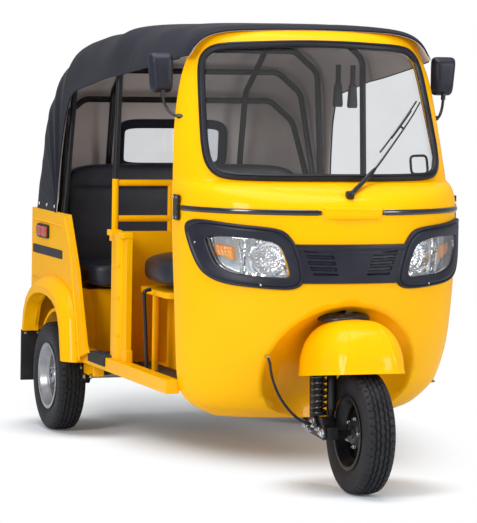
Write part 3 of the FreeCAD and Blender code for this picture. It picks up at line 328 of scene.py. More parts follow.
def ramp_colour(nodes, links, value, low, high):
    """Colour that goes from one tone to another as a value rises past its middle."""
    ramp = nodes.new("ShaderNodeValToRGB")
    first, last = ramp.color_ramp.elements
    first.position, last.position = 0.35, 0.65
    first.color, last.color = (*low, 1), (*high, 1)
    links.new(value, ramp.inputs["Fac"])
    return ramp.outputs["Color"]


def ramp_value(nodes, links, value, low, high, start=0.3, end=0.7):
    """Number that goes from one to another as a value rises."""
    spread = nodes.new("ShaderNodeMapRange")
    spread.inputs["From Min"].default_value = start
    spread.inputs["From Max"].default_value = end
    spread.inputs["To Min"].default_value = low
    spread.inputs["To Max"].default_value = high
    links.new(value, spread.inputs["Value"])
    return spread.outputs["Result"]


def relief(nodes, links, shader, height, strength, depth):
    """Bump of a given depth in metres on the shader's normal, added to any bump that is there."""
    bump = nodes.new("ShaderNodeBump")
    bump.inputs["Strength"].default_value = strength
    bump.inputs["Distance"].default_value = depth
    links.new(height, bump.inputs["Height"])
    if shader.inputs["Normal"].is_linked:
        links.new(shader.inputs["Normal"].links[0].from_socket, bump.inputs["Normal"])
    links.new(bump.outputs["Normal"], shader.inputs["Normal"])


def surface_finish(name, low, high, rough, patches=6.0, grain=900.0, depth=0.0002, strength=0.3,
                   metal=0.0, coat=0.0, coat_rough=0.06, specular=0.5):
    """Opaque finish: two near tones in soft patches, roughness that varies with them, and a fine grain."""
    material, nodes, links, shader = new_finish(name)
    cloud = noise_value(nodes, links, patches, 4.0, 0.55)
    links.new(ramp_colour(nodes, links, cloud, low, high), shader.inputs["Base Color"])
    links.new(ramp_value(nodes, links, cloud, rough[0], rough[1]), shader.inputs["Roughness"])
    relief(nodes, links, shader, noise_value(nodes, links, grain, 2.0), strength, depth)
    shader.inputs["Metallic"].default_value = metal
    shader.inputs["Coat Weight"].default_value = coat
    shader.inputs["Coat Roughness"].default_value = coat_rough
    shader.inputs["Specular IOR Level"].default_value = specular
    return material


def leather_finish(name, low, high, rough):
    """Coated cloth with a pebbled grain: cell edges sunk between rounded pebbles, over soft creases."""
    material, nodes, links, shader = new_finish(name)
    cloud = noise_value(nodes, links, 9.0, 4.0, 0.6)
    links.new(ramp_colour(nodes, links, cloud, low, high), shader.inputs["Base Color"])
    links.new(ramp_value(nodes, links, cloud, rough[0], rough[1]), shader.inputs["Roughness"])
    relief(nodes, links, shader, noise_value(nodes, links, 14.0, 3.0), 0.5, 0.004)
    place = nodes.new("ShaderNodeTexCoord")
    cells = nodes.new("ShaderNodeTexVoronoi")
    cells.feature = "DISTANCE_TO_EDGE"
    cells.inputs["Scale"].default_value = 420.0
    links.new(place.outputs["Object"], cells.inputs["Vector"])
    pebbles = ramp_value(nodes, links, cells.outputs["Distance"], 0, 1, 0.0, 0.25)
    relief(nodes, links, shader, pebbles, 0.35, 0.0004)
    shader.inputs["Coat Weight"].default_value = 0.1
    shader.inputs["Coat Roughness"].default_value = 0.3
    shader.inputs["Specular IOR Level"].default_value = 0.35
    return material


def cloth_finish(name, low, high, rough, threads=900.0, sheen=0.25):
    """Woven cloth: two crossed bands of threads, faded patches and broad soft folds."""
    material, nodes, links, shader = new_finish(name)
    cloud = noise_value(nodes, links, 3.5, 5.0, 0.6)
    links.new(ramp_colour(nodes, links, cloud, low, high), shader.inputs["Base Color"])
    links.new(ramp_value(nodes, links, cloud, rough[0], rough[1]), shader.inputs["Roughness"])
    relief(nodes, links, shader, noise_value(nodes, links, 7.0, 3.0, 0.5, (1.0, 0.45, 1.0)), 0.45, 0.012)
    place = nodes.new("ShaderNodeTexCoord")
    for direction in ("X", "Y", "Z"):
        bands = nodes.new("ShaderNodeTexWave")
        bands.bands_direction = direction
        bands.inputs["Scale"].default_value = threads / 20
        bands.inputs["Distortion"].default_value = 0.6
        links.new(place.outputs["Object"], bands.inputs["Vector"])
        relief(nodes, links, shader, bands.outputs["Fac"], 0.12, 0.0003)
    shader.inputs["Sheen Weight"].default_value = sheen
    shader.inputs["Sheen Roughness"].default_value = 0.5
    shader.inputs["Specular IOR Level"].default_value = 0.15
    return material


def pane_finish(name, tint, gloss=0.05, streak=0.02):
    """Thin clear pane: a slight tint, under a mirror film that grows as the view gets lower."""
    material, nodes, links, shader = new_finish(name)
    nodes.remove(shader)
    output = nodes["Material Output"]
    clear = nodes.new("ShaderNodeBsdfTransparent")
    haze = noise_value(nodes, links, 5.0, 3.0)
    streaks = tuple(tone * (1 - streak) for tone in tint)
    links.new(ramp_colour(nodes, links, haze, streaks, tint), clear.inputs["Color"])
    film = nodes.new("ShaderNodeBsdfGlossy")
    film.inputs["Color"].default_value = (1, 1, 1, 1)
    links.new(ramp_value(nodes, links, haze, 0.01, 0.03), film.inputs["Roughness"])
    edge = nodes.new("ShaderNodeLayerWeight")
    edge.inputs["Blend"].default_value = 0.12
    amount = ramp_value(nodes, links, edge.outputs["Fresnel"], gloss, 0.75, 0.0, 1.0)
    mix = nodes.new("ShaderNodeMixShader")
    links.new(amount, mix.inputs["Fac"])
    links.new(clear.outputs["BSDF"], mix.inputs[1])
    links.new(film.outputs["BSDF"], mix.inputs[2])
    links.new(mix.outputs["Shader"], output.inputs["Surface"])
    return material


YELLOW = surface_finish("yellow_paint", (0.93, 0.445, 0.0006), (0.95, 0.465, 0.0008), (0.36, 0.42),
                        1.4, 260.0, 0.0002, 0.06, coat=0.18, coat_rough=0.06, specular=0.03)
YELLOW_IN = surface_finish("yellow_paint_inside", (0.90, 0.405, 0.0006), (0.93, 0.425, 0.0008), (0.45, 0.52),
                           2.0, 300.0, 0.0002, 0.1, coat=0.08, coat_rough=0.2, specular=0.05)
RUBBER = surface_finish("gasket_rubber", (0.007, 0.008, 0.013), (0.012, 0.013, 0.020), (0.36, 0.46),
                        12.0, 700.0, 0.0002, 0.25, specular=0.3)
SATIN_BLACK = surface_finish("satin_black_moulding", (0.009, 0.01, 0.018), (0.014, 0.015, 0.026), (0.36, 0.46),
                             8.0, 1200.0, 0.00015, 0.25, specular=0.3)
GLOSS_BLACK = surface_finish("gloss_black_strip", (0.008, 0.008, 0.010), (0.014, 0.014, 0.018), (0.16, 0.22),
                             10.0, 400.0, 0.0001, 0.1, coat=0.5)
FRAME_BLACK = surface_finish("frame_black_paint", (0.005, 0.005, 0.007), (0.010, 0.010, 0.012), (0.30, 0.42),
                             14.0, 350.0, 0.0002, 0.2, coat=0.2, coat_rough=0.15, specular=0.3)
CHASSIS_BLACK = surface_finish("chassis_paint", (0.008, 0.008, 0.009), (0.018, 0.017, 0.016), (0.5, 0.7),
                               9.0, 260.0, 0.0004, 0.35, specular=0.3)
VINYL = leather_finish("seat_vinyl", (0.006, 0.007, 0.014), (0.011, 0.013, 0.023), (0.34, 0.44))
CANVAS = cloth_finish("hood_canvas", (0.008, 0.009, 0.016), (0.014, 0.015, 0.025), (0.60, 0.74), sheen=0.05)
LINING = cloth_finish("hood_lining", (0.60, 0.545, 0.53), (0.68, 0.62, 0.60), (0.8, 0.9), 700.0, 0.05)
GLASS = pane_finish("clear_pane", (0.885, 0.895, 0.905))
WINDOW_FILM = pane_finish("window_film", (0.825, 0.835, 0.845), 0.04, 0.03)
LAMP_GLASS = pane_finish("lamp_cover", (0.97, 0.975, 0.98), 0.06, 0.01)
REFLECTOR = surface_finish("lamp_reflector", (0.82, 0.83, 0.85), (0.93, 0.94, 0.95), (0.06, 0.16),
                           40.0, 120.0, 0.0012, 0.35, metal=1.0)
TYRE = surface_finish("tyre_rubber", (0.008, 0.008, 0.010), (0.015, 0.015, 0.018), (0.5, 0.66),
                      16.0, 520.0, 0.0005, 0.35, specular=0.3)
SILVER = surface_finish("rim_silver", (0.29, 0.29, 0.31), (0.38, 0.38, 0.40), (0.24, 0.34),
                        18.0, 400.0, 0.0002, 0.15, metal=0.75, coat=0.2)
STEEL = surface_finish("bare_steel", (0.55, 0.55, 0.56), (0.68, 0.68, 0.69), (0.22, 0.34),
                       30.0, 600.0, 0.0002, 0.2, metal=1.0)
CASTING = surface_finish("engine_casting", (0.20, 0.20, 0.205), (0.30, 0.30, 0.305), (0.5, 0.65),
                         12.0, 500.0, 0.0005, 0.4, metal=0.7)
MAT_BLACK = surface_finish("floor_mat_rubber", (0.012, 0.012, 0.014), (0.024, 0.024, 0.027), (0.5, 0.68),
                           10.0, 600.0, 0.0004, 0.4)
AMBER = surface_finish("amber_lens", (0.86, 0.26, 0.01), (0.95, 0.36, 0.02), (0.12, 0.2),
                       30.0, 140.0, 0.001, 0.4, coat=0.6)
RED_LENS = surface_finish("red_lens", (0.42, 0.03, 0.01), (0.55, 0.06, 0.015), (0.12, 0.2),
                          30.0, 140.0, 0.001, 0.4, coat=0.6)


def dress(thing, material, body):
    """Gives a piece its finish and the body it moves with."""
    thing.data.materials.clear()
    thing.data.materials.append(material)
    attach(thing, body)
    return thing


# The floor, the light and the pale surroundings.
FLOOR_GLOW = 0.05
WORLD_LIGHT = 0.42
# Where the floor keeps its shadow, by middle and reach in metres: under the body and at the wheels.
SHADOW_PLACES = (((0.2, 0.95), (0.8, 1.7)), ((0.06, -1.0), (0.4, 0.42)), ((-0.5, 0.95), (0.36, 0.42)))
FADE_START, FADE_END = 0.5, 1.08
FLOOR_RADII = (0.0, 4000.0, 12000.0, 60000.0)


def worked_value(nodes, links, operation, first, second):
    """Two numbers, each an output or a plain value, worked to one."""
    worker = nodes.new("ShaderNodeMath")
    worker.operation = operation
    for slot, value in zip(worker.inputs, (first, second)):
        if isinstance(value, float):
            slot.default_value = value
        else:
            links.new(value, slot)
    return worker.outputs["Value"]


def distance_fade(nodes, links, middle, reach):
    """Number that rises smoothly from none to one past an oval's edge on the floor."""
    place = nodes.new("ShaderNodeTexCoord")
    shift = nodes.new("ShaderNodeMapping")
    shift.vector_type = "TEXTURE"
    shift.inputs["Location"].default_value = (*middle, 0)
    shift.inputs["Scale"].default_value = (*reach, 1)
    away = nodes.new("ShaderNodeVectorMath")
    away.operation = "LENGTH"
    links.new(place.outputs["Object"], shift.inputs["Vector"])
    links.new(shift.outputs["Vector"], away.inputs[0])
    fade = ramp_value(nodes, links, away.outputs["Value"], 0.0, 1.0, FADE_START, FADE_END)
    fade.node.interpolation_type = "SMOOTHSTEP"
    return fade


def floor_finish():
    """Pale matt floor with a faint glow for the camera, which fades to plain white off the shadows."""
    material, nodes, links, shader = new_finish("studio_floor")
    output = nodes["Material Output"]
    nodes.remove(shader)
    matt = nodes.new("ShaderNodeBsdfDiffuse")
    speck = noise_value(nodes, links, 1.5, 2.0)
    links.new(ramp_colour(nodes, links, speck, (0.76, 0.80, 0.84), (0.77, 0.81, 0.85)), matt.inputs["Color"])
    camera_ray = nodes.new("ShaderNodeLightPath").outputs["Is Camera Ray"]
    glow = nodes.new("ShaderNodeEmission")
    links.new(worked_value(nodes, links, "MULTIPLY", camera_ray, FLOOR_GLOW), glow.inputs["Strength"])
    total = nodes.new("ShaderNodeAddShader")
    links.new(matt.outputs["BSDF"], total.inputs[0])
    links.new(glow.outputs["Emission"], total.inputs[1])
    share = camera_ray
    for middle, reach in SHADOW_PLACES:
        share = worked_value(nodes, links, "MULTIPLY", distance_fade(nodes, links, middle, reach), share)
    white = nodes.new("ShaderNodeEmission")
    mix = nodes.new("ShaderNodeMixShader")
    links.new(share, mix.inputs["Fac"])
    links.new(total.outputs["Shader"], mix.inputs[1])
    links.new(white.outputs["Emission"], mix.inputs[2])
    links.new(mix.outputs["Shader"], output.inputs["Surface"])
    return material


def lay_floor():
    """Round flat floor: rings of growing radius on the ground."""
    angle, radius = full_turn(96), np.array(FLOOR_RADII)[:, None]
    points = np.stack([radius * np.cos(angle), radius * np.sin(angle), 0 * radius * angle], axis=-1)
    floor = closed_up(sheet_mesh("studio_floor", points, wrap_columns=True))
    if floor.data.polygons[0].normal.z < 0:
        floor.data.flip_normals()
    floor.data.materials.append(floor_finish())


def pale_world():
    """White surroundings for the camera and through glass, and a soft even light for all else."""
    world = bpy.data.worlds.new("studio")
    bpy.context.scene.world = world
    world.use_nodes = True
    nodes, links = world.node_tree.nodes, world.node_tree.links
    background = nodes["Background"]
    background.inputs["Color"].default_value = (1, 1, 1, 1)
    path = nodes.new("ShaderNodeLightPath")
    camera_ray, through_glass = path.outputs["Is Camera Ray"], path.outputs["Is Transmission Ray"]
    seen = worked_value(nodes, links, "MAXIMUM", camera_ray, through_glass)
    links.new(ramp_value(nodes, links, seen, WORLD_LIGHT, 1.0, 0.0, 1.0), background.inputs["Strength"])


def soft_lamp(name, place, target, size, power):
    """Square soft box at a place in metres, turned to its target."""
    light = bpy.data.lights.new(name, "AREA")
    light.shape = "RECTANGLE"
    light.size, light.size_y = size
    light.energy = power
    thing = bpy.data.objects.new(name, light)
    thing.location = place
    aim = Vector(target) - Vector(place)
    thing.rotation_euler = aim.to_track_quat("-Z", "Y").to_euler()
    bpy.context.scene.collection.objects.link(thing)


lay_floor()
pale_world()
soft_lamp("left_box", (-5.5, -4.5, 3.6), (0, -0.3, 0.8), (1.8, 3.2), 300)
soft_lamp("right_box", (4.5, -6.0, 3.2), (0, -0.6, 0.8), (2.2, 2.6), 205)
soft_lamp("top_box", (-0.5, -0.5, 6.0), (0, 0, 0), (4.6, 4.6), 280)

bpy.context.scene.view_settings.view_transform = "Standard"

# The cowl's level sections, front body from foot to visor: mark above the zone's foot in millimetres,
# half width right and left, front y, centre y, corner power. The surface pieces below lie on them.
COWL_FOOT, SHELF_LOW, SHELF_HIGH = 240.0, 1040.0, 1128.0
LOW_ZONE = (
    (0, 405, 300, -720, -560, 2.0),
    (22, 455, 360, -775, -560, 2.0),
    (50, 500, 410, -820, -560, 2.05),
    (90, 533, 455, -855, -560, 2.1),
    (140, 546, 492, -885, -560, 2.1),
    (200, 550, 512, -908, -560, 2.1),
    (280, 551, 530, -935, -560, 2.1),
    (380, 552, 540, -955, -560, 2.1),
    (500, 553, 548, -966, -560, 2.1),
    (620, 554, 553, -968, -560, 2.1),
    (720, 554, 554, -967, -560, 2.1),
    (800, 554, 554, -963, -560, 2.1),
)
SHELF_ZONE = (
    (0, 554, 554, -963, -560, 2.1),
    (22, 554, 554, -948, -540, 2.2),
    (48, 554, 554, -918, -510, 2.35),
    (70, 553, 553, -868, -470, 2.6),
    (88, 553, 553, -790, -420, 2.9),
)
HIGH_ZONE = (
    (0, 553, 553, -772, -420, 2.9),
    (117, 551, 551, -725, -400, 2.65),
    (252, 546, 546, -670, -370, 2.45),
    (392, 536, 536, -612, -335, 2.3),
    (492, 521, 521, -571, -305, 2.2),
    (530, 511, 511, -548, -300, 2.2),
    (560, 492, 492, -512, -300, 2.2),
    (578, 450, 450, -465, -300, 2.2),
)


def eased(rows, marks):
    """Rows of a table at any marks: cubics whose slopes are harmonic means of the neighbours'."""
    rows = np.asarray(rows, float)
    marks = np.clip(np.asarray(marks, float), rows[0, 0], rows[-1, 0])
    known, values = rows[:, 0], rows[:, 1:]
    gaps = np.diff(known)[:, None]
    rises = np.diff(values, axis=0) / gaps
    product = rises[:-1] * rises[1:]
    total = rises[:-1] + rises[1:]
    mean = np.where(product > 0, 2 * product / np.where(np.abs(total) > 1e-12, total, 1.0), 0.0)
    slope = np.concatenate([rises[:1], mean, rises[-1:]])
    index = np.clip(np.searchsorted(known, marks) - 1, 0, len(known) - 2)
    gap = gaps[index]
    part = ((marks - known[index]) / gap[..., 0])[..., None]
    return ((2 * part ** 3 - 3 * part ** 2 + 1) * values[index] + (3 * part ** 2 - 2 * part ** 3) * values[index + 1]
            + ((part ** 3 - 2 * part ** 2 + part) * slope[index] + (part ** 3 - part ** 2) * slope[index + 1]) * gap)


def cowl_rows(z):
    """Section values of the cowl at heights: half width right and left, front y, centre y, power."""
    z = np.asarray(z, float)
    low = eased(LOW_ZONE, z - COWL_FOOT)
    shelf = eased(SHELF_ZONE, z - SHELF_LOW)
    high = eased(HIGH_ZONE, z - SHELF_HIGH)
    return np.where((z < SHELF_LOW)[..., None], low, np.where((z < SHELF_HIGH)[..., None], shelf, high))


def cowl_turn(x, z):
    """Turn round the cowl at crosswise places: the arc cosine of |x / half width| to half the power."""
    rows = cowl_rows(z)
    half = np.where(x > 0, rows[..., 1], rows[..., 0])
    reach = np.clip(np.abs(x) / half, 0, 1) ** (rows[..., 4] / 2)
    return math.pi / 2 - np.sign(x) * (math.pi / 2 - np.arccos(reach))


def cowl_place(turn, z):
    """Points of the cowl's outside: half width by cosine across, depth by sine ahead, both to 2 / power."""
    rows = cowl_rows(z)
    across, ahead = np.cos(turn), np.clip(np.sin(turn), 0, 1)
    half = np.where(across > 0, rows[..., 1], rows[..., 0])
    x = bent(across, 2 / rows[..., 4]) * half
    y = rows[..., 3] - (rows[..., 3] - rows[..., 2]) * ahead ** (2 / rows[..., 4])
    return np.stack([x, y, np.broadcast_to(z, x.shape)], axis=-1)


def cowl_normal(turn, z):
    """Outward unit normals of the cowl: the cross product of its small steps along turn and height."""
    along = cowl_place(turn - 0.004, z) - cowl_place(turn + 0.004, z)
    up = cowl_place(turn, z + 1.5) - cowl_place(turn, z - 1.5)
    normal = np.cross(along, up)
    return normal / np.linalg.norm(normal, axis=-1, keepdims=True)


def on_cowl(x, z, out=0.0):
    """Points on the cowl at crosswise places and heights, moved out along the normal."""
    x, z = np.broadcast_arrays(np.asarray(x, float), np.asarray(z, float))
    turn = cowl_turn(x, z)
    return cowl_place(turn, z) + cowl_normal(turn, z) * np.asarray(out, float)[..., None]


def swept_on_cowl(name, line, profile):
    """Band laid on the cowl: a (sideways, outwards) profile carried round a closed line of (x, z) places."""
    x, z = line[:, 0], line[:, 1]
    base, normal = on_cowl(x, z), cowl_normal(cowl_turn(x, z), z)
    ahead = np.roll(base, -1, axis=0) - np.roll(base, 1, axis=0)
    ahead = ahead / np.linalg.norm(ahead, axis=1, keepdims=True)
    side = np.cross(normal, ahead)
    profile = np.asarray(profile, float)
    points = base[:, None] + side[:, None] * profile[None, :, :1] + normal[:, None] * profile[None, :, 1:]
    return closed_up(sheet_mesh(name, points, wrap_rows=True, wrap_columns=True, sharp=35))


# The windshield's gasket, the trim strips and the blank pad between them.
GASKET = (
    (0, 1146), (-150, 1146), (-300, 1147), (-395, 1151), (-438, 1166), (-459, 1203), (-464, 1262),
    (-461, 1330), (-456, 1410), (-449, 1500), (-442, 1555), (-428, 1594), (-396, 1621), (-340, 1633),
    (-240, 1639), (-120, 1644),
)
GASKET_BAND = (
    (-15, -3), (-15, 4), (-12, 10), (-5, 12), (-2.6, 8.5), (2.6, 8.5), (5, 12), (11, 9.5), (14, 5),
    (14, -3),
)


def windshield_gasket():
    """Black rubber round the windshield, with the filler groove along its middle."""
    half = np.asarray(GASKET, float)
    whole = np.concatenate([half, [(0, 1646)], half[:0:-1] * (-1, 1)])
    line = smooth_line(whole, 300, closed=True)
    band = swept_on_cowl("windshield_gasket", line, GASKET_BAND)
    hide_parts("windshield_seal")
    return dress(band, RUBBER, "chassis")


def trim_strips():
    """Half round black strips from the blank pad to the doors, their inner ends square."""
    strips = []
    for side in (-1, 1):
        turn_in = float(cowl_turn(np.array(122.0 * side), np.array(1030.0)))
        turn_out = math.pi / 2 - side * (math.pi / 2 - 0.13)
        turn = np.linspace(turn_in, turn_out, 90)
        arc = np.linspace(0, math.pi, 11)
        taper = np.clip(np.linspace(0, 90, 90) / 2.0, 0.85, 1)
        z = 1027.5 + 10.5 * np.cos(arc)[None, :] * taper[:, None]
        out = 6.5 * np.sin(arc)[None, :] ** 0.7 * taper[:, None] - 0.5
        turn = np.broadcast_to(turn[:, None], z.shape)
        points = cowl_place(turn, z) + cowl_normal(turn, z) * out[..., None]
        under = cowl_place(turn, z) - cowl_normal(turn, z) * 2
        strips.append(slab_mesh("strip", points, under, sharp=60))
    whole = merged("trim_strips", [closed_up(strip) for strip in strips], sharp=60)
    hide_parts("trim_strip")
    return dress(whole, GLOSS_BLACK, "chassis")


def blank_plate():
    """Bare raised plate between the strips: its lift falls to the cowl over a rounded edge."""
    across, up = np.linspace(-1, 1, 120)[None, :], np.linspace(-1, 1, 30)[:, None]
    x = 5 + across * (119 - 5 * (1 - up))
    z = 1029 + up * 18.5
    edge = np.minimum((1 - np.abs(across)) * 119, (1 - np.abs(up)) * 18.5)
    lift = 5.6 - 4.0 * np.clip(1 - edge / 4.0, 0, 1) ** 2
    plate = slab_mesh("blank_plate", on_cowl(x, z, lift), on_cowl(x, z, np.full(lift.shape, -1.0)), sharp=50)
    return dress(closed_up(plate), YELLOW, "chassis")


windshield_gasket()
trim_strips()
blank_plate()

# The lamp surrounds, seen from the front on the left side: outer edge, and the edge of the lamp glass.
SURROUND = (
    (185, 765), (203, 750), (231, 742), (300, 744), (366, 749), (428, 755), (472, 768), (502, 791),
    (518, 822), (530, 865), (539, 912), (544, 954), (542, 980), (530, 991), (512, 993), (475, 989),
    (417, 981), (337, 975), (287, 970), (253, 959), (229, 934), (211, 902), (195, 846), (183, 791),
)
LENS = (
    (236, 791), (253, 785), (318, 788), (389, 793), (444, 808), (470, 832), (487, 880), (498, 923),
    (491, 933), (431, 935), (369, 931), (304, 920), (269, 904), (252, 868), (233, 809),
)
LAMP_MIDDLE = (372.0, 866.0)
LAMP_WALL = 3.0
BOWL_MIDDLE, BOWL_RADIUS = (308.0, 858.0), 62.0
SIGNAL_INNER, SIGNAL_OUTER = 420, 484
RING_POINTS = 168
LEDGE = (
    (0.0, -3), (0.0, 4), (0.025, 10), (0.07, 13), (0.14, 13.5), (0.19, 12.5), (0.22, 8.5), (0.25, 8),
    (0.29, 11.5), (0.34, 13), (0.5, 12.5), (0.72, 10.5), (0.88, 9), (0.95, 8.5), (0.985, 6), (1.0, 1),
    (1.0, -14), (1.0, -34),
)


def ring_line(outline, side):
    """Closed outline read at even turns round the lamp's middle, in (turn round the cowl, height) places."""
    line = rounded_line(np.asarray(outline, float), 3, closed=True)
    line = even_steps(np.concatenate([line, line[:1]]), 1600)
    away = line - np.asarray(LAMP_MIDDLE)
    bearing = np.unwrap(np.arctan2(away[:, 1] * 1.9, away[:, 0]))
    order = np.argsort(bearing)
    wanted = np.linspace(bearing.min(), bearing.min() + 2 * math.pi, RING_POINTS, endpoint=False)
    wrapped = np.concatenate([bearing[order], bearing[order][:1] + 2 * math.pi])
    ring = np.concatenate([line[order], line[order][:1]])
    wanted = (wanted - wanted[0]) % (2 * math.pi) + wrapped[0]
    x = np.interp(wanted, wrapped, ring[:, 0]) * side
    z = np.interp(wanted, wrapped, ring[:, 1])
    shift = int(np.argmin(np.abs(np.angle(np.exp(1j * wanted)))))
    x, z = np.roll(x, -shift), np.roll(z, -shift)
    return np.stack([cowl_turn(x, z), z], axis=-1)


def lamp_surround(side):
    """Dark moulded ring: a rounded rim, a groove, a ledge that falls to the lamp, and the wall inside it."""
    outer, inner = ring_line(SURROUND, side), ring_line(LENS, side)
    part, out = np.asarray(LEDGE, float).T
    place = outer[None] + (inner - outer)[None] * part[:, None, None]
    turn, z = place[..., 0], place[..., 1]
    points = cowl_place(turn, z) + cowl_normal(turn, z) * out[:, None, None]
    return closed_up(sheet_mesh("ring", points, wrap_columns=True, sharp=50))


def lamp_disc(side, rings):
    """Cowl places and outward directions on rings that shrink from the lamp's edge to its middle."""
    line = ring_line(LENS, side)
    across, height = LAMP_MIDDLE
    middle = np.array([float(cowl_turn(np.array(across * side), np.array(height))), height])
    place = line[None] + (middle - line)[None] * rings[:, None, None]
    turn, z = place[..., 0], place[..., 1]
    return cowl_place(turn, z), cowl_normal(turn, z)


def lamp_inside(side, behind=0.0):
    """Chromed housing: a flat back with flutes, and a round bowl whose depth is one less the square of the
    place from its middle, with sine facets and rings, a bell curve for its rim and one for its bulb."""
    rings = np.concatenate([[0.0, 0.0, 0.01, 0.05], np.linspace(0.1, 1.0, 30)])
    base, normal = lamp_disc(side, rings)
    depth = np.where(rings < 0.005, 4.0, 34.0)[:, None] * np.ones(base.shape[:2])
    depth[1] = 26.0
    flat = base[..., [0, 2]] * (side, 1)
    away = np.linalg.norm(flat - BOWL_MIDDLE, axis=-1)
    bowl = 30 * np.clip(1 - (away / BOWL_RADIUS) ** 2, 0, None) ** 0.7
    rim = 9 * np.exp(-((away - 64) / 3.2) ** 2)
    bulb = 26 * np.exp(-(away / 11) ** 4)
    bearing = np.arctan2(flat[..., 1] - BOWL_MIDDLE[1], flat[..., 0] - BOWL_MIDDLE[0])
    bowl = bowl + 3.0 * np.abs(np.sin(bearing * 10)) * (away > 14) * (away < 60)
    bowl = bowl + 1.6 * np.sin(away / 2.6) * (away < 60)
    flutes = 2.2 * np.sin(flat[..., 0] / 5.2) * (away > 68) * (flat[..., 0] < 398)
    outer = 12 * (flat[..., 0] > 402)
    inward = depth + np.where(rings[:, None] > 0.03, bowl - rim - bulb + flutes - outer, 0.0)
    points = base - normal * (inward + behind)[..., None]
    return closed_up(sheet_mesh("housing", points, wrap_columns=True, sharp=40), 1e-5)


def lamp_back(side):
    """The housing's dark back, one wall's thickness behind its chrome."""
    return lamp_inside(side, LAMP_WALL)


def lamp_cover(side):
    """Clear cover just proud of the cowl, with a rounded edge."""
    rings = np.array([0.0, 0.006, 0.02, 0.05, 0.1, 0.2, 0.35, 0.5, 0.65, 0.8, 0.92, 1.0])
    base, normal = lamp_disc(side, rings)
    lift = np.interp(rings, [0, 0.006, 0.02, 0.05, 1], [0.0, 2.5, 4.6, 5.6, 6.2])[:, None, None]
    outer, inner = base + normal * lift, base + normal * (lift - 2.5)
    return closed_up(slab_mesh("cover", outer, inner, wrap_columns=True))


def turn_signal(side):
    """Amber block at the outer part of the lamp, its face cut into small lens ribs."""
    across = np.linspace(SIGNAL_INNER, SIGNAL_OUTER, 38)[None, :]
    up = np.linspace(0, 1, 34)[:, None]
    low = np.interp(across, [SIGNAL_INNER, SIGNAL_OUTER], [840, 862])
    high = np.interp(across, [SIGNAL_INNER, SIGNAL_OUTER], [898, 906])
    slant = 8 * (up - 0.5)
    x = (across + slant) * side
    z = low + (high - low) * up
    edge_up = np.minimum(np.minimum(up, 1 - up) * 9, 1)
    edge = edge_up * np.minimum(np.minimum(across - SIGNAL_INNER, SIGNAL_OUTER - across) / 8, 1)
    ribs = 1.4 * np.abs(np.sin(across / 3.3)) + 1.0 * np.abs(np.sin(z / 4.0))
    lift = -30 + 16 * np.clip(edge, 0, 1) ** 0.5 + ribs
    back = on_cowl(x, z, np.full(lift.shape, -32.0))
    return closed_up(slab_mesh("signal", on_cowl(x, z, lift), back, sharp=60))


def lamp_divider(side):
    """Dark slanted rib between the main lamp and the amber block."""
    line = np.linspace(0, 1, 24)
    x = np.interp(line, [0, 1], [397, 415]) * side
    z = np.interp(line, [0, 1], [797, 931])
    path = on_cowl(x, z, np.full(24, -18.0))
    return tube_mesh("divider", path, 5.0, 10)


def front_lamps():
    """Both lamps with their surrounds: each piece made on either side of the middle."""
    for name, maker, sharp, finish, slot, solid in LAMP_PIECES:
        whole = merged(name, [maker(side) for side in (-1, 1)], sharp=sharp)
        if solid:
            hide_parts(solid)
        dress(whole, finish, "chassis")


LAMP_PIECES = (
    ("lamp_surround_rings", lamp_surround, 50, SATIN_BLACK, "black_trim", "lamp_surrounds"),
    ("lamp_housings", lamp_inside, 40, REFLECTOR, "lamp_clear", None),
    ("lamp_backs", lamp_back, 40, SATIN_BLACK, "black_trim", None),
    ("turn_signals", turn_signal, 60, AMBER, "lamp_colour", None),
    ("lamp_dividers", lamp_divider, 40, REFLECTOR, "lamp_clear", None),
    ("lamp_covers", lamp_cover, 40, LAMP_GLASS, "lamp_clear", "headlamps"),
)


front_lamps()


def front_grille():
    """Dark panel between the lamps: a ridge along its top and a slatted vent each side of the middle."""
    across = np.linspace(-1, 1, 213)[None, :]
    up = np.linspace(0, 1, 84)[:, None]
    z = 765 + (912 - 765) * up + 0 * across
    half = np.interp(z, [765, 791, 846, 902, 912], [184, 186, 198, 214, 218])
    x = across * half
    near = np.abs(x)
    inner = np.interp(z, [795, 812, 866, 883], [54, 60, 74, 97])
    outer = np.interp(z, [795, 825, 870, 890], [146, 163, 179, 184])
    rim_up = np.minimum(z - 797, np.interp(near, [97, 184], [881, 888]) - z)
    well = np.clip(np.minimum(np.minimum(near - inner, outer - near), rim_up) / 3.0, 0, 1)
    slats = (z - 797 - near * 0.035) % 22
    slat = np.interp(slats, [0, 2, 4, 13, 15, 22], [1, 1, 8.5, 9.5, 2, 1])
    face = 10 + 3.2 * np.exp(-((z - 899) / 5) ** 2) - 2.0 * np.exp(-((z - 888) / 2.6) ** 2)
    face = face - 5 * (up > 0.985) - 5 * (up < 0.015)
    lift = face * (1 - well) + slat * well
    lift[0], lift[-1] = -2, -2
    points = on_cowl(x, z, lift)
    panel = closed_up(slab_mesh("grille", points, on_cowl(x, z, np.full(z.shape, -3.0)), sharp=30))
    panel.name = panel.data.name = "front_grille"
    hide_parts("grille_panel")
    return dress(panel, SATIN_BLACK, "chassis")


front_grille()

# The wheels.
FRONT_WHEEL = (0.0, -1080.0, 228.0)
REAR_WHEEL_X, REAR_WHEEL_Y = 584.0, 905.0
TYRE_RADIUS = 228.0


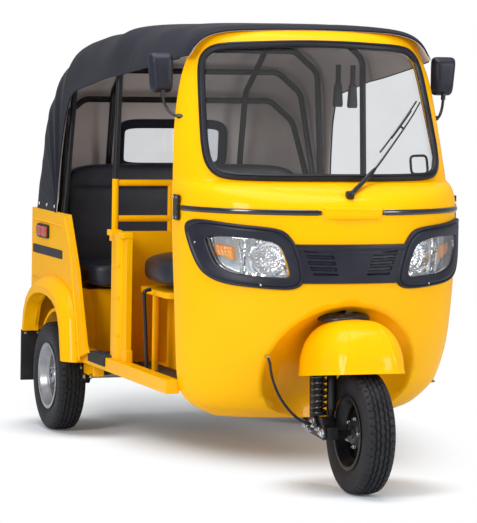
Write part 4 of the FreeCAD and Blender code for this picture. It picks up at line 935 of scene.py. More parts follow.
def tyre_mesh(name, centre):
    """Tyre: a section swung round the axle, its radius lowered in zigzag grooves, sipes and slots."""
    section = np.array([
        (-40, 126), (-46, 127), (-48, 132), (-47.5, 139), (-51, 148), (-55, 160), (-57.5, 176), (-57.8, 190),
        (-57, 202), (-55, 211), (-52, 217), (-49, 220.5)])
    crown = np.linspace(-47, 47, 96)
    crown_radius = 227.6 - 5.2 * np.abs(crown / 47) ** 3.2
    along = np.concatenate([section[:, 0], crown, -section[::-1, 0]])
    radius = np.concatenate([section[:, 1], crown_radius, section[::-1, 1]])
    steps = 300
    angle = full_turn(steps)[:, None]
    wave = np.abs(((angle * 44 / (2 * math.pi)) % 1) * 2 - 1) * 2 - 1
    depth = np.zeros((steps, len(along)))
    for number, middle in enumerate((-26, -9.5, 9.5, 26)):
        away = np.abs(along[None] - middle - 2.6 * wave * (-1) ** number)
        depth = np.maximum(depth, 6.5 * np.clip((4.2 - away) / 1.6, 0, 1))
    phase = (angle * 50 / (2 * math.pi) + np.abs(along[None]) / 120) % 1
    slot = np.clip((0.13 - np.abs(phase - 0.5)) / 0.05, 0, 1)
    shoulder = np.clip((np.abs(along[None]) - 33) / 3, 0, 1) * (radius[None] > 214)
    depth = np.maximum(depth, 4.5 * slot * shoulder)
    fine = (angle * 88 / (2 * math.pi) + along[None] / 26) % 1
    sipe = np.clip((0.1 - np.abs(fine - 0.5)) / 0.05, 0, 1) * (np.abs(np.abs(along[None]) - 17.8) < 5)
    depth = np.maximum(depth, 2.2 * sipe)
    side_ring = 0.8 * np.cos((radius[None] - 186) / 2.2) * (np.abs(radius[None] - 186) < 7)
    reach = radius[None] - depth
    across = along[None] + np.sign(along[None]) * side_ring
    points = np.stack([across + 0 * angle, reach * np.cos(angle), reach * np.sin(angle)], axis=-1)
    points = points + np.asarray(centre)
    return closed_up(sheet_mesh(name, points, wrap_rows=True, wrap_columns=True, sharp=28))


def rim_mesh(centre, side, dish):
    """Pressed rim: flanges, well and a dished disc, as (place across, radius) from the outside."""
    profile = np.array([
        (54, 127), (55, 136), (53.5, 139.5), (50, 138.5), (48.5, 132), (46, 126), (30, 123), (26, 118),
        (20, 112), (-20, 112), (-26, 118), (-30, 123), (-46, 126), (-48.5, 132), (-50, 138.5),
        (-53.5, 139.5), (-55, 136), (-54, 127), (-46, 120), (-24, 108), (-16, 106), (14, 106), (19, 109),
        (24, 114), (48, 121), (54, 127)], float)
    barrel = lathe_mesh("barrel", profile * (side, 1), centre, steps=96)
    face = np.asarray(dish, float)
    return [barrel, lathe_mesh("disc", face * (side, 1), centre, steps=96)]


def wheel_nuts(centre, side, place, ring, count, size, height):
    """Six-sided nuts on studs in a ring, faces outwards."""
    nuts = []
    for number in range(count):
        angle = 2 * math.pi * (number + 0.5) / count
        middle = np.array([0, math.cos(angle), math.sin(angle)]) * ring + np.asarray(centre)
        top = place + height
        profile = np.array([
            (place, 0), (place, size * 1.25), (place + 2, size * 1.25), (place + 2.2, size), (top, size),
            (top + 1, size * 0.85), (top + 1, size * 0.45), (top + 7, size * 0.42), (top + 7.5, 0)])
        nuts.append(lathe_mesh("nut", profile * (side, 1), middle, steps=6, sharp=25))
    return nuts


# The discs' sections as (place across, radius), from the rim inwards.
REAR_DISH = (
    (-12, 107), (-8, 107.5), (-2, 105), (2, 98), (2, 90), (-2, 84), (-2, 74), (4, 66), (10, 60),
    (14, 52), (14, 40), (12, 36), (12, 33), (22, 31), (30, 27), (33, 20), (34, 10), (34, 0),
)
FRONT_DISH = (
    (-10, 107), (-6, 107.5), (-2, 103), (-2, 84), (4, 76), (12, 66), (20, 58), (26, 50), (30, 46),
    (34, 42), (34, 24), (38, 22), (38, 12), (40, 11), (40, 0),
)


def rear_wheels():
    """Rear tyres and silver rims with their nuts and cap, and black pads painted as the shade in hand holes."""
    for label, side in (("right", -1), ("left", 1)):
        centre = (REAR_WHEEL_X * side, REAR_WHEEL_Y, TYRE_RADIUS)
        tyre = tyre_mesh("rear_tread_" + label, centre)
        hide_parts("rear_tyre_" + label)
        dress(tyre, TYRE, "rear_wheel_" + label)
        rim = merged("rear_disc_" + label, rim_mesh(centre, side, REAR_DISH), sharp=30)
        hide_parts("rear_rim_" + label)
        dress(rim, SILVER, "rear_wheel_" + label)
        # Painted shade: black pads on the solid disc's face stand in for the dark inside of hand holes.
        hole_shades = [hole_shade_pad(centre, side, -1.2, 90, index / 10) for index in range(10)]
        pads = merged("rim_hole_shades_" + label, hole_shades)
        dress(pads, MAT_BLACK, "rear_wheel_" + label)
        nuts = merged("rear_nuts_" + label, wheel_nuts(centre, side, 12.5, 46, 5, 8.5, 9), sharp=25)
        dress(nuts, STEEL, "rear_wheel_" + label)


def hole_shade_pad(centre, side, place, ring, part):
    """Painted shade for a hand hole of the disc: a shallow dark oval dish laid on the disc's face, no opening cut.
    """
    angle = 2 * math.pi * part
    turn = full_turn(24)
    rings = np.array([0.0, 0.7, 0.95, 1.0])[:, None]
    along = 7.0 * rings * np.cos(turn)
    tangent = 13.0 * rings * np.sin(turn)
    lift = np.array([3.0, 3.2, 3.8, 4.6])[:, None] + 0 * turn
    out = np.array([math.cos(angle), math.sin(angle)])
    round_way = np.array([-math.sin(angle), math.cos(angle)])
    flat = (ring + along)[..., None] * out + tangent[..., None] * round_way
    points = np.concatenate([((place + lift) * side)[..., None], flat], axis=-1) + np.asarray(centre)
    return closed_up(slab_mesh("hole", points, points - np.array([2.5 * side, 0, 0]), wrap_columns=True))


def front_wheel():
    """Front tyre and black rim with the hub's nuts."""
    tyre = tyre_mesh("front_tread", FRONT_WHEEL)
    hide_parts("front_tyre")
    dress(tyre, TYRE, "front_wheel")
    rim = merged("front_disc", rim_mesh(FRONT_WHEEL, -1, FRONT_DISH), sharp=30)
    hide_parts("front_rim")
    dress(rim, FRAME_BLACK, "front_wheel")
    nuts = merged("front_nuts", wheel_nuts(FRONT_WHEEL, -1, 26, 54, 5, 7.0, 8), sharp=25)
    dress(nuts, STEEL, "front_wheel")


rear_wheels()
front_wheel()

# The front suspension: spring, damper, link bolts, mudguard and hose.
SPRING_FOOT, SPRING_TOP = 284.0, 503.0
SPRING_PLACE = (-122.0, -968.0)


def coil_spring():
    """Coil spring: a round wire on a helix of some ten turns, its end turns flat, over a closed sleeve."""
    turns = np.linspace(0, 10.5, 360)
    levels = [SPRING_FOOT + 5, SPRING_FOOT + 8, SPRING_TOP - 8, SPRING_TOP - 5]
    rise = np.interp(turns, [0, 0.8, 9.7, 10.5], levels)
    angle = turns * 2 * math.pi
    across, along = SPRING_PLACE
    line = np.stack([across + 25.5 * np.cos(angle), along + 25.5 * np.sin(angle), rise], axis=1)
    coil = tube_mesh("coil", line, 5.2, 12)
    centre = (across, along, 0)
    seats = []
    for z in (SPRING_FOOT - 3, SPRING_TOP - 4):
        profile = [(z, 0), (z, 30), (z + 5, 33), (z + 7, 30), (z + 7, 0)]
        seats.append(lathe_mesh("seat", profile, centre, "Z", 40))
    profile = [(SPRING_FOOT, 0), (SPRING_FOOT, 15), (SPRING_TOP - 90, 15), (SPRING_TOP - 88, 18),
               (SPRING_TOP, 18), (SPRING_TOP, 0)]
    sleeve = lathe_mesh("sleeve", profile, centre, "Z", 32)
    whole = merged("coil_spring", [coil])
    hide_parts("front_spring")
    dress(whole, GLOSS_BLACK, "steering")
    return dress(merged("spring_sleeve", [sleeve] + seats), CHASSIS_BLACK, "steering")


def fork_fittings():
    """Damper cover, pivot bosses, bolt heads and washers on the fork link."""
    cover = [(300, 0), (300, 17), (304, 18.5), (430, 18.5), (436, 15.5), (500, 15.5), (500, 0)]
    parts = [lathe_mesh("cover", cover, (-79.0, -985.0, 0), "Z", 32)]
    bosses = ((-1080, 228, 26), (-912, 236, 22), (-985, 262, 17), (-1000, 246, 15), (-1040, 238, 13))
    for y, z, size in bosses:
        profile = np.array([(-140, 0), (-140, size * 0.95), (-146, size), (-149, size * 0.8), (-149, 0)])
        parts.append(lathe_mesh("boss", profile, (0, y, z), "X", 32))
    whole = merged("fork_fittings", parts, sharp=35)
    dress(whole, FRAME_BLACK, "steering")
    heads = []
    for y, z, size in ((-1080, 228, 13), (-912, 236, 11), (-985, 262, 8.5), (-1040, 238, 7), (-950, 224, 7)):
        profile = np.array([(-138, 0), (-138, size * 1.35), (-150.5, size * 1.35), (-151, size), (-158, size),
                            (-159.5, size * 0.7), (-159.5, size * 0.45), (-165, size * 0.42), (-165.5, 0)])
        heads.append(lathe_mesh("head", profile, (0, y, z), "X", 6, 25))
    bolts = merged("fork_bolts", heads, sharp=25)
    dress(bolts, STEEL, "steering")


coil_spring()
fork_fittings()

# The mudguard: share of its rise, then shares of its half width and half length.
GUARD_LEVELS = (
    (0, 1.0, 1.0), (0.28, 0.99, 0.955), (0.56, 0.92, 0.845), (0.75, 0.8, 0.71), (0.89, 0.63, 0.535),
    (0.963, 0.44, 0.36), (1.0, 0.12, 0.1),
)
GUARD_HALF, GUARD_LONG, GUARD_RISE, GUARD_TILT = 166.0, 227.0, 204.0, math.radians(7)
GUARD_PLACE = np.array([0.0, -979.0, 429.0])


def guard_place(points):
    """Mudguard points turned nose up about their crosswise axis and set over the front tyre."""
    along, rise = points[..., 1], points[..., 2]
    turned = np.stack([points[..., 0], along * math.cos(GUARD_TILT) + rise * math.sin(GUARD_TILT),
                       rise * math.cos(GUARD_TILT) - along * math.sin(GUARD_TILT)], axis=-1)
    return turned + GUARD_PLACE


def mudguard():
    """Half dome over the front tyre: superellipse rings that close to the top, a lip and a pressed crease."""
    share = 1 - (1 - np.linspace(0, 1, 54)) ** 1.7
    size = eased(GUARD_LEVELS, share)
    turn, power = full_turn(192)[None, :], 0.62
    x = GUARD_HALF * size[:, :1] * bent(np.cos(turn), power)
    y = GUARD_LONG * size[:, 1:2] * bent(np.sin(turn), power)
    z = GUARD_RISE * share[:, None] + 0 * turn
    crease = np.exp(-((np.abs(x) - 62 - 0.22 * (GUARD_RISE - z)) / 4.0) ** 2) * (y < -5)
    crease = crease * np.clip((z - 14) / 20, 0, 1) * np.clip((196 - z) / 30, 0, 1)
    points = np.stack([x, y, z], axis=-1)
    normal = grid_normals(points, wrap_columns=True)
    normal = normal * np.sign(np.sum(normal * (points - (0, 0, 30.0)), axis=-1, keepdims=True))
    outer = points + normal * (2.6 * crease - 0.1)[..., None]
    outer[0] = points[0] + normal[0] * 2.5
    outer[1] = points[1] + normal[1] * 2.0
    inner = points - normal * 4.5
    outer, inner = guard_place(outer), guard_place(inner)
    guard = closed_up(slab_mesh("front_guard", outer, inner, wrap_columns=True, sharp=50))
    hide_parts("front_mudguard")
    return dress(guard, YELLOW, "steering")


mudguard()

# The brake hose's route in metres, from the cowl to the fork link.
HOSE_ROUTE = (
    (-0.298, -0.8772, 0.492), (-0.298, -0.912, 0.486), (-0.297, -0.930, 0.425), (-0.274, -0.945, 0.355),
    (-0.236, -0.960, 0.298), (-0.190, -0.976, 0.256), (-0.1392, -0.985, 0.240),
)
HOSE_RADIUS = 0.005


def spline_points(name, route):
    """Points along the smooth spline that takes a route's places as its control points."""
    curve = bpy.data.curves.new(name, "CURVE")
    curve.dimensions = "3D"
    spline = curve.splines.new("NURBS")
    spline.points.add(len(route) - 1)
    for point, place in zip(spline.points, route):
        point.co = (*place, 1)
    spline.order_u = 3
    spline.use_endpoint_u = True
    spline.resolution_u = 24
    thing = bpy.data.objects.new(name, curve)
    bpy.context.scene.collection.objects.link(thing)
    bpy.context.view_layer.update()
    graph = bpy.context.evaluated_depsgraph_get()
    mesh = bpy.data.meshes.new_from_object(thing.evaluated_get(graph))
    places = np.array([vertex.co[:] for vertex in mesh.vertices])
    bpy.data.objects.remove(thing)
    bpy.data.meshes.remove(mesh)
    return places


def brake_hose():
    """Rubber hose with a metal ferrule at each end."""
    line = spline_points("hose_route", HOSE_ROUTE)
    hose = tube_mesh("brake_line", line / MM, HOSE_RADIUS / MM, 14)
    hose.data.materials.append(RUBBER)
    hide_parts("brake_hose")
    ends = []
    for start, ahead in ((line[0], line[3]), (line[-1], line[-4])):
        way = (ahead - start) / np.linalg.norm(ahead - start)
        middle = np.linspace(start - way * 0.001, start + way * 0.02, 5) / MM
        ends.append(tube_mesh("ferrule", middle, np.array([7.5, 7.5, 6.6, 7.4, 6.2]), 12, sharp=30))
    for number, (end, body) in enumerate(zip(ends, ("chassis", "steering"))):
        end.name = "hose_ferrule_%d" % number
        dress(end, STEEL, body)
    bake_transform(hose)
    return hose


brake_hose()

# The hood's sections: mark along the crown, base y, turn up from level at the rear, reach, half width.
BELT_Z = 920.0
HOOD_ROWS, HOOD_COLUMNS = 160, 137
HOOD_SECTIONS = (
    (0, -496, 90, 786, 545),
    (36, -460, 90, 802, 551),
    (150, -340, 90, 811, 560),
    (370, -120, 90, 806, 576),
    (590, 100, 90, 801, 590),
    (790, 300, 90, 802, 600),
    (970, 480, 90, 784, 606),
    (1130, 640, 90, 776, 611),
    (1290, 800, 90, 750, 616),
    (1380, 880, 90, 727, 618),
    (1455, 880, 83.5, 704, 618),
    (1610, 880, 71.3, 654, 618),
    (1730, 880, 61.3, 603, 618),
    (1830, 880, 52.7, 553, 618),
    (1910, 880, 45, 488, 618),
    (2050, 880, 30, 415.5, 618),
    (2160, 880, 15, 386, 618),
    (2290, 880, 0, 382, 618),
)
# The door's edge: how high the hood's foot is at places from front to rear.
DOOR_EDGE_Y = (-700, -496, -450, -151, 174, 339, 536, 710, 768, 823, 860, 883)
DOOR_EDGE_Z = (1612, 1606, 1600, 1561, 1522, 1505, 1473, 1445, 1414, 1309, 1140, 900)
# Marks of the bows that hold the cloth up, and of its two seams.
BOW_MARKS = (0, 370, 790, 1380, 1560, 1760)
SEAM_MARKS = (566, 1392)
WINDOW_HALF, WINDOW_HALF_HIGH, WINDOW_MIDDLE = 240.0, 100.0, 1190.0
WINDOW_CORNER = 34.0
STUD_Z = 943.0


def hood_surface(inset):
    """Hood grid: each section a square-shouldered arch, x by cosine and height by sine, both to a small
    power, its feet on the belt line or on the door's edge."""
    share = np.linspace(0, 1, HOOD_ROWS)
    mark = np.interp(share, [0, 0.05, 0.5, 0.62, 0.7, 1], [0, 60, 1150, 1330, 1480, 2290])
    table = eased(HOOD_SECTIONS, mark)
    base_y, turn, reach, half = table[:, 0], np.radians(table[:, 1]), table[:, 2], table[:, 3]
    power = (0.15 + 0.10 * np.sin(turn))[:, None]
    edge = np.interp(base_y, DOOR_EDGE_Y, DOOR_EDGE_Z) - BELT_Z
    foot = np.where(mark < 1384, np.clip(edge / reach, 0, 0.97), 0.0)
    first = np.arcsin(foot ** (1 / power[:, 0]))
    share = np.linspace(0, 1, 801)[None, :]
    swing = share ** 3 * (10 - 15 * share + 6 * share ** 2)
    angle = first[:, None] + (math.pi - 2 * first[:, None]) * swing
    rise = np.clip(np.sin(angle), 0, 1) ** power
    across = np.sign(np.cos(angle)) * np.abs(np.cos(angle)) ** power
    x = across * (half[:, None] - inset) * (1 - 0.05 * rise * np.sin(turn)[:, None] ** 3)
    out = rise * (reach[:, None] - inset - 16 * across ** 2 * np.sin(turn)[:, None])
    y = base_y[:, None] + out * np.cos(turn)[:, None]
    z = BELT_Z + out * np.sin(turn)[:, None]
    dense = np.stack([x, y, z], axis=-1)
    even = np.stack([even_steps(line, HOOD_COLUMNS) for line in dense])
    normal = grid_normals(even)
    inner = np.array([0.0, 400.0, 1150.0])
    normal = normal * np.sign(np.sum(normal * (even - inner), axis=-1, keepdims=True))
    return even, normal, mark


def hood_folds(mark):
    """Inward sag of the cloth: deepest midway between bows, with slanting ripples that fade to the crown."""
    bows = np.asarray(BOW_MARKS, float)
    index = np.clip(np.searchsorted(bows, mark, side="right") - 1, 0, len(bows) - 2)
    part = np.clip((mark - bows[index]) / (bows[index + 1] - bows[index]), 0, 1)
    last = mark > bows[-1]
    sag = np.where(last, 3.0, 9.0 * np.sin(math.pi * part) ** 2)[:, None]
    share = np.linspace(-1, 1, HOOD_COLUMNS)[None, :]
    crown = np.clip(1.15 - np.abs(share) ** 6, 0, 1)
    line = mark[:, None]
    ripple = 1.6 * np.sin(line / 46 + 5.5 * np.abs(share)) * np.exp(-((np.abs(share) - 0.62) / 0.22) ** 2)
    hang = 2.2 * np.sin(line / 31 - 3 * share) * np.clip(np.abs(share) - 0.55, 0, 1) * 2 * (line > 1400)
    puff = 1.2 * np.sin(line / 83 + 4.0 * share)
    return sag * crown + np.abs(ripple) + np.abs(hang) + np.abs(puff) + 1.5


def kept_faces(points):
    """Mask of a hood grid's faces that lie outside the rear window's rounded frame."""
    x, y, z = points[..., 0], points[..., 1], points[..., 2]
    past_side = np.maximum(np.abs(x) - (WINDOW_HALF - WINDOW_CORNER), 0)
    past_top = np.maximum(np.abs(z - WINDOW_MIDDLE) - (WINDOW_HALF_HIGH - WINDOW_CORNER), 0)
    inside = (np.hypot(past_side, past_top) < WINDOW_CORNER + 4) & (y > 1100)
    corner = inside[:-1, :-1] & inside[1:, :-1] & inside[:-1, 1:] & inside[1:, 1:]
    return ~corner.reshape(-1)


def hood_sheet(name, inset, deep, thick, seams=True):
    """One layer of the hood as a closed thin sheet, the window left open, and its area in square metres."""
    points, normal, mark = hood_surface(inset)
    rows, columns = points.shape[:2]
    sag = hood_folds(mark) + deep
    if seams:
        for place in SEAM_MARKS:
            sag = sag - 1.5 * np.exp(-((mark[:, None] - place) / 7.0) ** 2)
        z = points[..., 2]
        line = 1372 + 30 * np.clip((points[..., 1] - 850) / 250, 0, 1)
        sag = sag - 1.5 * np.exp(-((z - line) / 7.0) ** 2) * (mark[:, None] > SEAM_MARKS[1])
    hem = np.clip(1 - np.arange(columns) / 3.0, 0, 1)
    hem = np.maximum(hem, hem[::-1])[None, :]
    sag = sag * (1 - 0.6 * hem)
    outer = points - normal * sag[..., None]
    inner = outer - normal * thick
    faces = grid_faces(rows, columns)[kept_faces(points)]
    count = rows * columns
    both = np.concatenate([outer.reshape(-1, 3), inner.reshape(-1, 3)])
    under = faces[:, ::-1] + count
    sides = np.stack([faces, np.roll(faces, -1, axis=1)], axis=-1).reshape(-1, 2)
    key = sides.min(axis=1) * count + sides.max(axis=1)
    _, back, tally = np.unique(key, return_inverse=True, return_counts=True)
    rim = sides[tally[back] == 1]
    walls = np.stack([rim[:, 1], rim[:, 0], rim[:, 0] + count, rim[:, 1] + count], axis=-1)
    thing = mesh_of(name, both, np.concatenate([faces, under, walls]).tolist(), 50)
    work = bmesh.new()
    work.from_mesh(thing.data)
    loose = [vertex for vertex in work.verts if not vertex.link_faces]
    bmesh.ops.delete(work, geom=loose, context="VERTS")
    bmesh.ops.recalc_face_normals(work, faces=work.faces)
    work.to_mesh(thing.data)
    work.free()
    quad = outer.reshape(-1, 3)[faces] * MM
    area = 0.5 * np.linalg.norm(np.cross(quad[:, 2] - quad[:, 0], quad[:, 3] - quad[:, 1]), axis=1).sum()
    return thing, float(area), outer


def hood_band(name, line, width, thick, out):
    """Flat tape laid along a line, square to the given outward directions."""
    ahead = np.gradient(line, axis=0)
    ahead = ahead / np.linalg.norm(ahead, axis=1, keepdims=True)
    side = np.cross(out, ahead)
    profile = np.array([(-0.5, -1), (-0.5, 0.6), (-0.42, 1), (0.42, 1), (0.5, 0.6), (0.5, -1)])
    points = (line[:, None] + side[:, None] * profile[None, :, :1] * width
              + out[:, None] * profile[None, :, 1:] * thick)
    return closed_up(sheet_mesh(name, points, wrap_columns=True, sharp=50))


def rear_surface(x, z):
    """Places on the hood's rear wall at given places across and heights, and its outward directions."""
    points, _, mark = hood_surface(0.0)
    middle = points[:, points.shape[1] // 2]
    rear = mark > 1700
    order = np.argsort(middle[rear, 2])
    height, depth = middle[rear, 2][order], middle[rear, 1][order]
    y = np.interp(z, height, depth) - 0.00004 * x ** 2
    lean = (np.interp(z + 4, height, depth) - np.interp(z - 4, height, depth)) / 8
    out = np.stack([0.00008 * x, np.ones_like(z), -lean], axis=-1)
    return np.stack([x, y, z], axis=-1), out / np.linalg.norm(out, axis=-1, keepdims=True)


def stud(place, way, size=7.0):
    """Domed press stud: a quarter circle swung round its own axis."""
    way = np.asarray(way, float)
    side = np.cross(way, (0, 0, 1.0))
    up = np.cross(side, way)
    angle = full_turn(20)
    rise = np.linspace(0, math.pi / 2, 6)[:, None]
    ring = side * np.cos(angle)[:, None] + up * np.sin(angle)[:, None]
    points = place + ring[None] * (size * np.cos(rise))[..., None]
    points = points + way * (size * 0.5 * np.sin(rise))[..., None]
    low = np.concatenate([points[:1] - way * 3, points])
    low = np.concatenate([np.broadcast_to(place - way * 3, low[:1].shape), low])
    return closed_up(sheet_mesh("stud", low, wrap_columns=True, sharp=60))


def window_edges():
    """Tapes round the rear window, one on the cloth and one on the lining."""
    turn, power = np.linspace(0, 2 * math.pi, 181), 0.28
    x = (WINDOW_HALF - 4) * bent(np.cos(turn), power)
    z = WINDOW_MIDDLE + (WINDOW_HALF_HIGH - 5) * bent(np.sin(turn), power)
    loop, out = rear_surface(x, z)
    return [hood_band("window_edge", loop + out * lift, wide, 2.5, out)
            for lift, wide in ((-2.5, 34), (-14.0, 40))]


def hood():
    """Canvas hood with its grey lining, bound edges, window frame and studs."""
    canvas, area, outer = hood_sheet("hood_cloth", 0.0, 0.0, 2.0)
    lining, lining_area, _ = hood_sheet("hood_inner_cloth", 0.0, 6.0, 2.0, seams=False)
    for layer, finish in ((canvas, CANVAS), (lining, LINING)):
        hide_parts("hood_canopy")
        dress(layer, finish, "chassis")
    trims = []
    for column in (0, -1):
        line = outer[8:118, column]
        trims.append(tube_mesh("edge", even_steps(line, 170) - (0, 0, 1.0), 3.4, 10))
    trims.append(tube_mesh("edge", even_steps(outer[0][6:-6], 120) + (0, 3.0, -2.0), 4.0, 10))
    edging = merged("hood_edging", trims + window_edges(), sharp=50)
    dress(edging, CANVAS, "chassis")
    studs = [stud(np.array([side * 616.5, y, STUD_Z]), (side, 0, 0))
             for side in (-1, 1) for y in (900, 1020, 1140)]
    studs += [stud(np.array([x, 1259.5, STUD_Z]), (0, 1, 0)) for x in range(-520, 521, 130)]
    metal = merged("hood_studs", studs)
    dress(metal, STEEL, "chassis")


hood()

# The seats.
SEAT_BACK_HALF = 528.0


def soft_box(turn, lift, power):
    """Superellipsoid of half size one: cosines and sines of two turns, raised to a small power."""
    ring = bent(np.cos(lift), power)
    x, y = ring * bent(np.cos(turn), power), ring * bent(np.sin(turn), power)
    return np.stack([x, y, bent(np.sin(lift), power) + 0 * turn], axis=-1)


def pad_mesh(name, low, high, power, crown, channels, shape=None):
    """Stuffed pad: a box whose edges are rounded as a superellipsoid, crowned, its sewn channels sunk."""
    low, high = np.asarray(low, float), np.asarray(high, float)
    middle, half = (low + high) / 2, (high - low) / 2
    lift = np.linspace(-math.pi / 2, math.pi / 2, 84)[:, None]
    unit = soft_box(full_turn(168)[None, :], lift, power)
    points = unit * half
    x, y, z = np.moveaxis(1 - unit ** 2, -1, 0)
    bulge = np.stack([y * z, x * z, x * y], axis=-1)
    points = points - np.sign(unit) * np.asarray(crown, float) * (1 - bulge)
    normal = grid_normals(points, wrap_columns=True)
    normal = normal * np.sign(np.sum(normal * points, axis=-1, keepdims=True))
    sunk = np.zeros(points.shape[:2])
    for axis, place, depth, width in channels:
        away = np.abs(points[..., axis] + middle[axis] - place)
        sunk = np.maximum(sunk, depth * np.exp(-(away / width) ** 1.2))
    points = points - normal * sunk[..., None]
    if shape is not None:
        points = shape(points + middle) - middle
    return closed_up(sheet_mesh(name, points + middle, wrap_columns=True, sharp=60), 1e-5)


def welt_mesh(low, high, z, round_by, inset, radius):
    """Piping round a pad at one height: a plan rectangle with rounded corners."""
    turn = full_turn(160)
    middle = ((low[0] + high[0]) / 2, (low[1] + high[1]) / 2)
    half = ((high[0] - low[0]) / 2 - inset, (high[1] - low[1]) / 2 - inset)
    x = middle[0] + half[0] * bent(np.cos(turn), round_by)
    y = middle[1] + half[1] * bent(np.sin(turn), round_by)
    return tube_mesh("welt", np.stack([x, y, np.full(160, z)], axis=1), radius, 8, closed=True)


def seat_pad(name, pieces, node):
    pad = merged(name, pieces, sharp=60)
    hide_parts(node)
    dress(pad, VINYL, "chassis")


def lean_back(places):
    """Leans the backrest: each place moves back by the same share of its height above the cushion."""
    moved = places.copy()
    moved[..., 1] += (places[..., 2] - 740) * 0.062
    return moved


def seats():
    """Driver's bench, rear cushion and rear backrest, each with its seams."""
    low, high = (-498, -306, 672), (498, 138, 826)
    bench = pad_mesh("bench", low, high, 0.42, (10, 8, 9), [(0, 0, 5, 7)])
    seat_pad("driver_bench", [bench, welt_mesh(low, high, 750, 0.5, 3.0, 3.2)], "driver_seat")
    low, high = (-545, 560, 614), (545, 985, 735)
    cushion = pad_mesh("cushion", low, high, 0.28, (6, 6, 7), [(0, -180, 6, 7), (0, 180, 6, 7)])
    welts = [welt_mesh(low, high, z, 0.3, 7.0, 3.0) for z in (640, 708)]
    seat_pad("passenger_cushion", [cushion] + welts, "rear_seat_cushion")
    low, high = (-SEAT_BACK_HALF, 992, 640), (SEAT_BACK_HALF, 1088, 1118)
    channels = [(0, -150, 9, 8), (0, 150, 9, 8), (2, 1006, 9, 8), (2, 840, 8, 8)]
    back = pad_mesh("back", low, high, 0.24, (5, 8, 5), channels, lean_back)
    seat_pad("passenger_backrest", [back], "rear_seat_back")


seats()

# Body panels and fittings that keep the solids' form, their edges rounded.
ROUNDED = (
    ("front_cowl", YELLOW, 0.0), ("side_posts", YELLOW, 0.003), ("sills", YELLOW, 0.004),
    ("quarter_panels", YELLOW, 0.003), ("rear_panel", YELLOW, 0.002), ("engine_lid", YELLOW, 0.002),
    ("partition_frame", YELLOW_IN, 0.002), ("driver_seat_box", YELLOW_IN, 0.006),
    ("rear_seat_base", YELLOW_IN, 0.006), ("rear_bumper", FRAME_BLACK, 0.003),
    ("mudflaps", MAT_BLACK, 0.002), ("hinge_plates", FRAME_BLACK, 0.0015), ("dashboard", SATIN_BLACK, 0.004),
    ("fork_arm", FRAME_BLACK, 0.002), ("steering_column", FRAME_BLACK, 0.002),
)
LEFT_SILL_START = -420.0
GUARD_EDGE_Z, GUARD_SPACE = 490.0, 12.0


def keep_under_guard(thing):
    """Draws the fork arm's upper corner in, so that it stays inside the mudguard's oval."""
    for vertex in thing.data.vertices:
        if vertex.co.z > GUARD_EDGE_Z * MM:
            rise = (vertex.co.z / MM - GUARD_PLACE[2]) / GUARD_RISE
            inside = GUARD_HALF * math.sqrt(max(1 - rise ** 2, 0)) - GUARD_SPACE
            vertex.co.x = max(vertex.co.x, -inside * MM)


def shorten_left_sill(thing):
    """Ends the left sill behind the cowl."""
    for vertex in thing.data.vertices:
        if vertex.co.x > 0:
            vertex.co.y = max(vertex.co.y, LEFT_SILL_START * MM)


def rounded_panels():
    """Copies of the flat-sided solids with rounded edges and smooth curves."""
    trimming = {"fork_arm": keep_under_guard, "sills": shorten_left_sill}
    for node, finish, edge in ROUNDED:
        thing = dress(solid_copy(node, edge, 25), finish, BODY_OF[node])
        if node in trimming:
            trimming[node](thing)


rounded_panels()


def clean_box(turn, lift, power):
    """Superellipsoid of half size one whose cosines and sines near none count as none."""
    x, y, z = (np.round(value, 12) for value in (np.cos(turn), np.sin(turn), np.sin(lift)))
    ring = bent(np.round(np.cos(lift), 12), power)
    return np.stack([ring * bent(x, power), ring * bent(y, power), bent(z, power) + 0 * turn], axis=-1)


def moulded(name, low, high, power=0.14):
    """Block with soft edges: half sizes times cosines and sines of two turns to a small power."""
    low, high = np.asarray(low, float), np.asarray(high, float)
    lift = np.linspace(-math.pi / 2, math.pi / 2, 16)[:, None]
    rounded = clean_box(full_turn(36)[None, :], lift, power)
    points = rounded * (high - low) / 2 + (low + high) / 2
    return closed_up(sheet_mesh(name, points, wrap_columns=True, sharp=60), 1e-6)


def pair_of(low, high, power=0.14):
    """The same block on the left and mirrored on the right."""
    (x0, y0, z0), (x1, y1, z1) = low, high
    return [moulded("block", low, high, power), moulded("block", (-x1, y0, z0), (-x0, y1, z1), power)]


def tubes_on_both_sides(places, radius, count=None):
    """The same round bar on the left and mirrored on the right."""
    line = np.asarray(places, float)
    if count:
        line = smooth_line(line, count)
    return [tube_mesh("bar", line * (side, 1, 1), radius, 12) for side in (1, -1)]


def bolt_heads(places, way, size):
    """Six-sided bolt heads with washers at places, facing one way along an axis."""
    number = int(np.argmax(np.abs(way)))
    facing = float(np.sign(np.sum(way)))
    heights = np.array([-2, 1.6, 1.6, 1.8, 1.8, 6.5, 7.4, 7.4]) * facing * size / 7
    widths = np.array([0, 1.5, 1.5, 1.5, 1.0, 1.0, 0.8, 0]) * size
    heads = []
    for place in places:
        centre = np.asarray(place, float).copy()
        profile = np.stack([heights + centre[number], widths], axis=1)
        centre[number] = 0
        heads.append(lathe_mesh("head", profile, centre, "XYZ"[number], 6, 25))
    return heads


def bolts_on_both_sides(places, size):
    """Bolt heads that face outwards on the left, and the same ones mirrored on the right."""
    right = [(-x, y, z) for x, y, z in places]
    return bolt_heads(places, (1, 0, 0), size) + bolt_heads(right, (-1, 0, 0), size)


